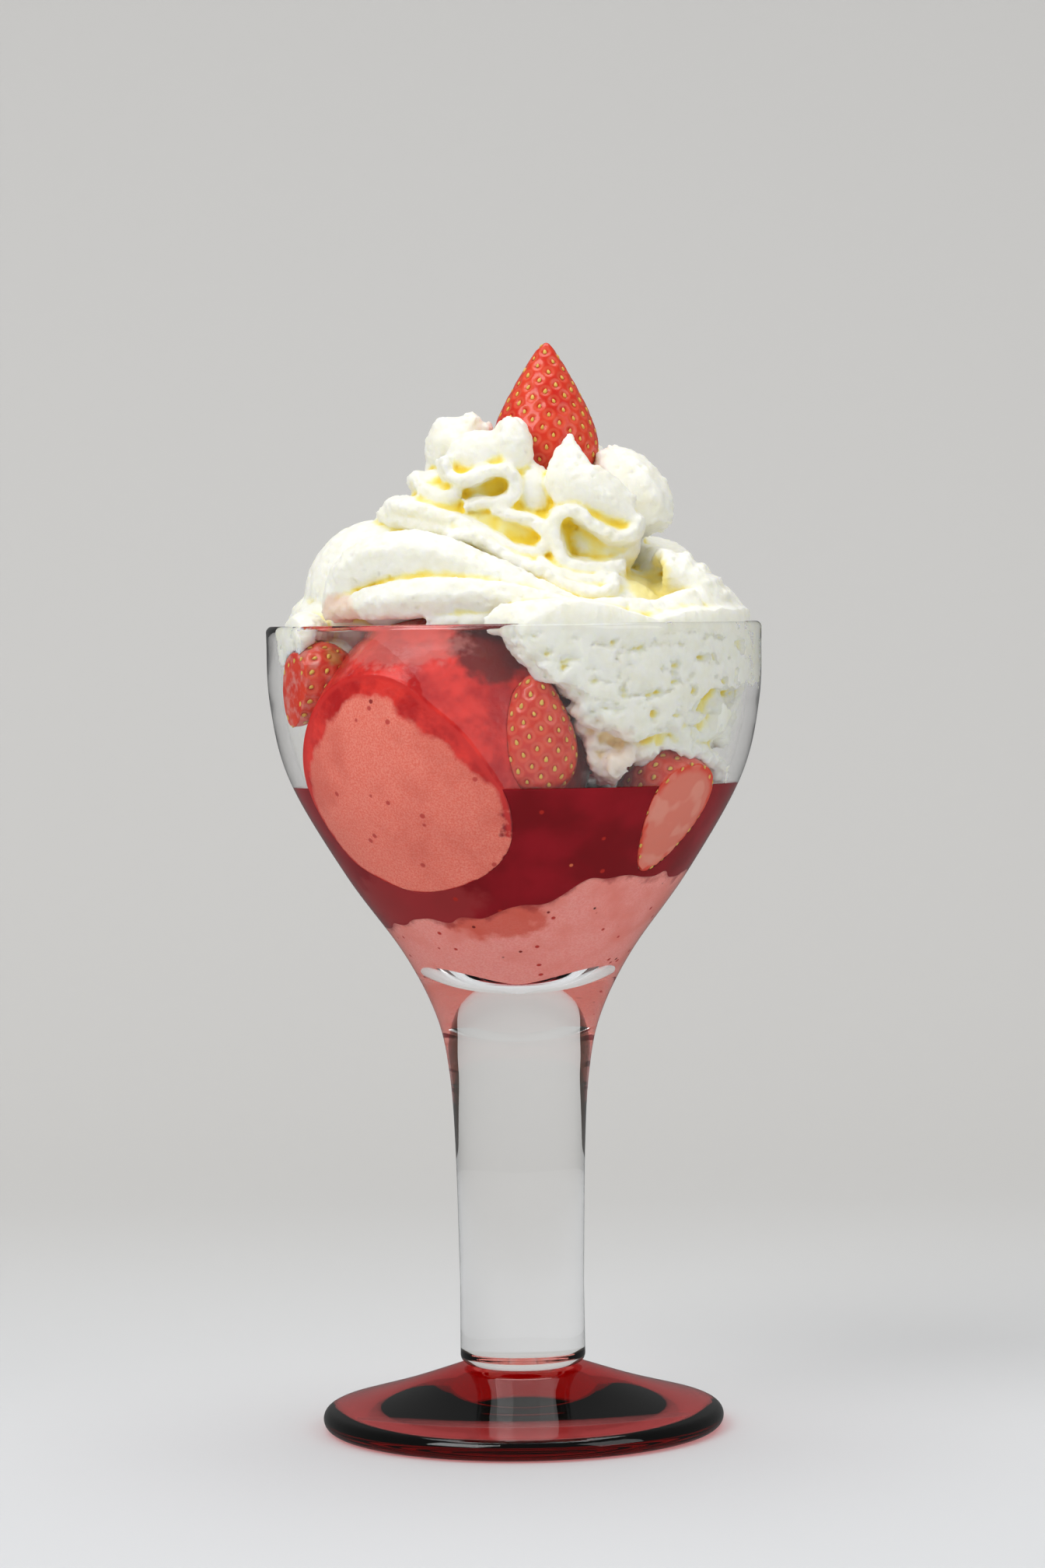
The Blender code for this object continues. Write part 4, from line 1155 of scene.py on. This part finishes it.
coat = blend(tree, product(tree, around(tree, (-22, -36, 162), (13, 20, 4.5), 0.6, 1.6), 0.4), coat, "D98880")
edge_line = product(tree, between(tree, push, 0.02, 0.15), between(tree, push, 0.9, 0.4))
coat = blend(tree, product(tree, edge_line, 0.8), coat, "D9302C")
base = blend(tree, bare, coat, patch)
shine = add_node(tree, "MapRange", {0: bare, 1: 0.0, 2: 1.0, 3: 0.15, 4: 0.7}).outputs[0]
food(tree, base, shine, bumps(tree, grains(tree, 1.6, 4.0), 0.16), ior=1.35, inner=0.1, inner_scale=0.002)

# %% Sauce
sauce_finish, tree = new_material("strawberry sauce")
base = blend(tree, between(tree, grains(tree, 12.0, 3.0), 0.3, 0.7), "7C0A14", "9A1220")
base = blend(tree, product(tree, around(tree, (-22, -22, 111), (16, 20, 6), 0.5), 0.7), base, "A03234")
base = blend(tree, specks(tree, 4.0, 1.0, 0.5, 0.3), base, "B4281F")
base = blend(tree, specks(tree, 8.0, 0.8, 0.8, 0.5), base, "D9704A")
base = blend(tree, around(tree, (-28.2, -17.8, 118.6), (1.5, 3, 1.0), soft=0.1), base, "BFAFAB")
food(tree, base, 0.15, ior=1.08)

# %% Cream
cream_finish, tree = new_material("whipped cream")
fold = kept(tree, "fold_depth")
base = blend(tree, between(tree, grains(tree, 3.0, 3.0), 0.35, 0.75), "FAF9EE", "F3F1E2")
# painted bounce light: the base colour turns pale yellow, then deep yellow, the deeper a fold is
base = blend(tree, between(tree, fold, 0.1, 0.75), base, "FBF0A8")
base = blend(tree, between(tree, fold, 0.45, 1.2), base, "FFE048")
# painted shade with pink bounce light: the recessed lumps low beside the front strawberry are tinted beige-pink
base = blend(tree, product(tree, around(tree, (16, -38, 139), (9, 12, 8), 0.4), 0.6), base, "E9CFC4")
base = blend(tree, product(tree, around(tree, (-35, -26, 168), (5, 8, 4), 0.3), 0.6), base, "EBBFA6")
# painted bounce light: the deep pocket at the left of the right-hand fan is tinted yellow
base = blend(tree, product(tree, around(tree, (27, -17, 174), (5, 9, 6), 0.3), 0.75), base, "FBE884")
food(tree, base, 0.5, bumps(tree, grains(tree, 0.9, 3.0), 0.09), ior=1.4, inner=0.5, inner_scale=0.003,
     inner_radius=(1.0, 0.9, 0.45))


# %% Strawberries
def berry_finish(name, pressed_look):
    """Ripe skin: red, with painted shade in its dimples and a painted highlight round them. pressed_look changes it
    on glass.
    """
    made, tree = new_material(name)
    touching = between(tree, kept(tree, "pushed_mm"), 0.05, 0.2)
    free = add_node(tree, "Math", {0: 1.0, 1: touching}, operation="SUBTRACT").outputs[0]
    dimple = product(tree, kept(tree, "dimple"), free)
    base = blend(tree, between(tree, grains(tree, 6.0, 2.0), 0.3, 0.7), "D22416", "E24026")
    # painted highlight: a lighter ring round each dimple, where its raised rim would shine
    ring = product(tree, between(tree, dimple, 0.03, 0.2), between(tree, dimple, 0.7, 0.35))
    base = blend(tree, product(tree, ring, 0.28), base, "F4805E")
    # painted shade: the deep middle of each dimple is darker
    base = blend(tree, between(tree, dimple, 0.55, 1.0), base, "B01A10")
    base = pressed_look(tree, base, touching)
    food(tree, base, 0.28, bumps(tree, grains(tree, 0.7, 2.0), 0.04), ior=1.35, coat=0.4, coat_roughness=0.08,
         inner=0.15, inner_scale=0.002, inner_radius=(1.0, 0.25, 0.15))
    return made


def no_change(tree, base, touching):
    return base


def wet_film(tree, base, touching):
    """A thin pink film lies between the front strawberry and the glass, with one bare red patch."""
    film = product(tree, touching, 0.6)
    base = blend(tree, film, base, "A82A2E")
    bare_skin = product(tree, around(tree, (2.4, -46, 142.0), (3.2, 6, 5.2), 0.35, 4.0, 0.06), touching)
    return blend(tree, bare_skin, base, "DE1C12")


def sliced(tree, base, touching):
    """The flesh of a slice: salmon, with pale veins, and orange red near the skin."""
    deep = between(tree, kept(tree, "pushed_mm"), 0.5, 2.2)
    flesh = blend(tree, deep, "E2452C", "E47C68")
    veins = between(tree, grains(tree, 5.0, 1.0), 0.5, 0.62)
    flesh = blend(tree, product(tree, veins, 0.45), flesh, "F0A692")
    return blend(tree, touching, base, flesh)


def frosted(tree, base, touching):
    """Cold haze on the left strawberry, and an olive shadow of its stem end."""
    haze = product(tree, between(tree, grains(tree, 2.2, 4.0), 0.45, 0.7), 0.55)
    base = blend(tree, haze, base, "DDA098")
    return blend(tree, product(tree, around(tree, (-33, -34, 161.5), (5.5, 12, 4.5), 0.4), 0.8), base, "B3A25C")


berry_finishes = {
    "top": berry_finish("ripe strawberry skin", no_change),
    "front": berry_finish("ripe strawberry skin under a wet film", wet_film),
    "right": berry_finish("sliced strawberry", sliced),
    "left": berry_finish("frosted strawberry skin", frosted),
}
seed_finish, tree = new_material("strawberry seed husk")
base = blend(tree, grains(tree, 1.2, 2.0), "CF9A34", "F2D068")
food(tree, base, 0.35, ior=1.45)

# %% Put the finishes on
finishes = [
    (bed, "ice_cream_bed", "ice_cream", ice_cream),
    (scoop, "ice_cream_scoop", "ice_cream", scoop_finish),
    (sauce, "sauce", "sauce", sauce_finish),
    (cream, "whipped_cream", "whipped_cream", cream_finish),
]
for place, skin in skins.items():
    finishes.append((skin, f"strawberry_{place}", "strawberry", berry_finishes[place]))
    finishes.append((seeds[place], None, "strawberry", seed_finish))
for piece, node, slot, finish in finishes:
    piece.data.materials.clear()
    piece.data.materials.append(finish)
    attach(piece, "root")
    if node is not None:
        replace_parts(piece, node)
print("finished pieces:", len(finishes) + 2)
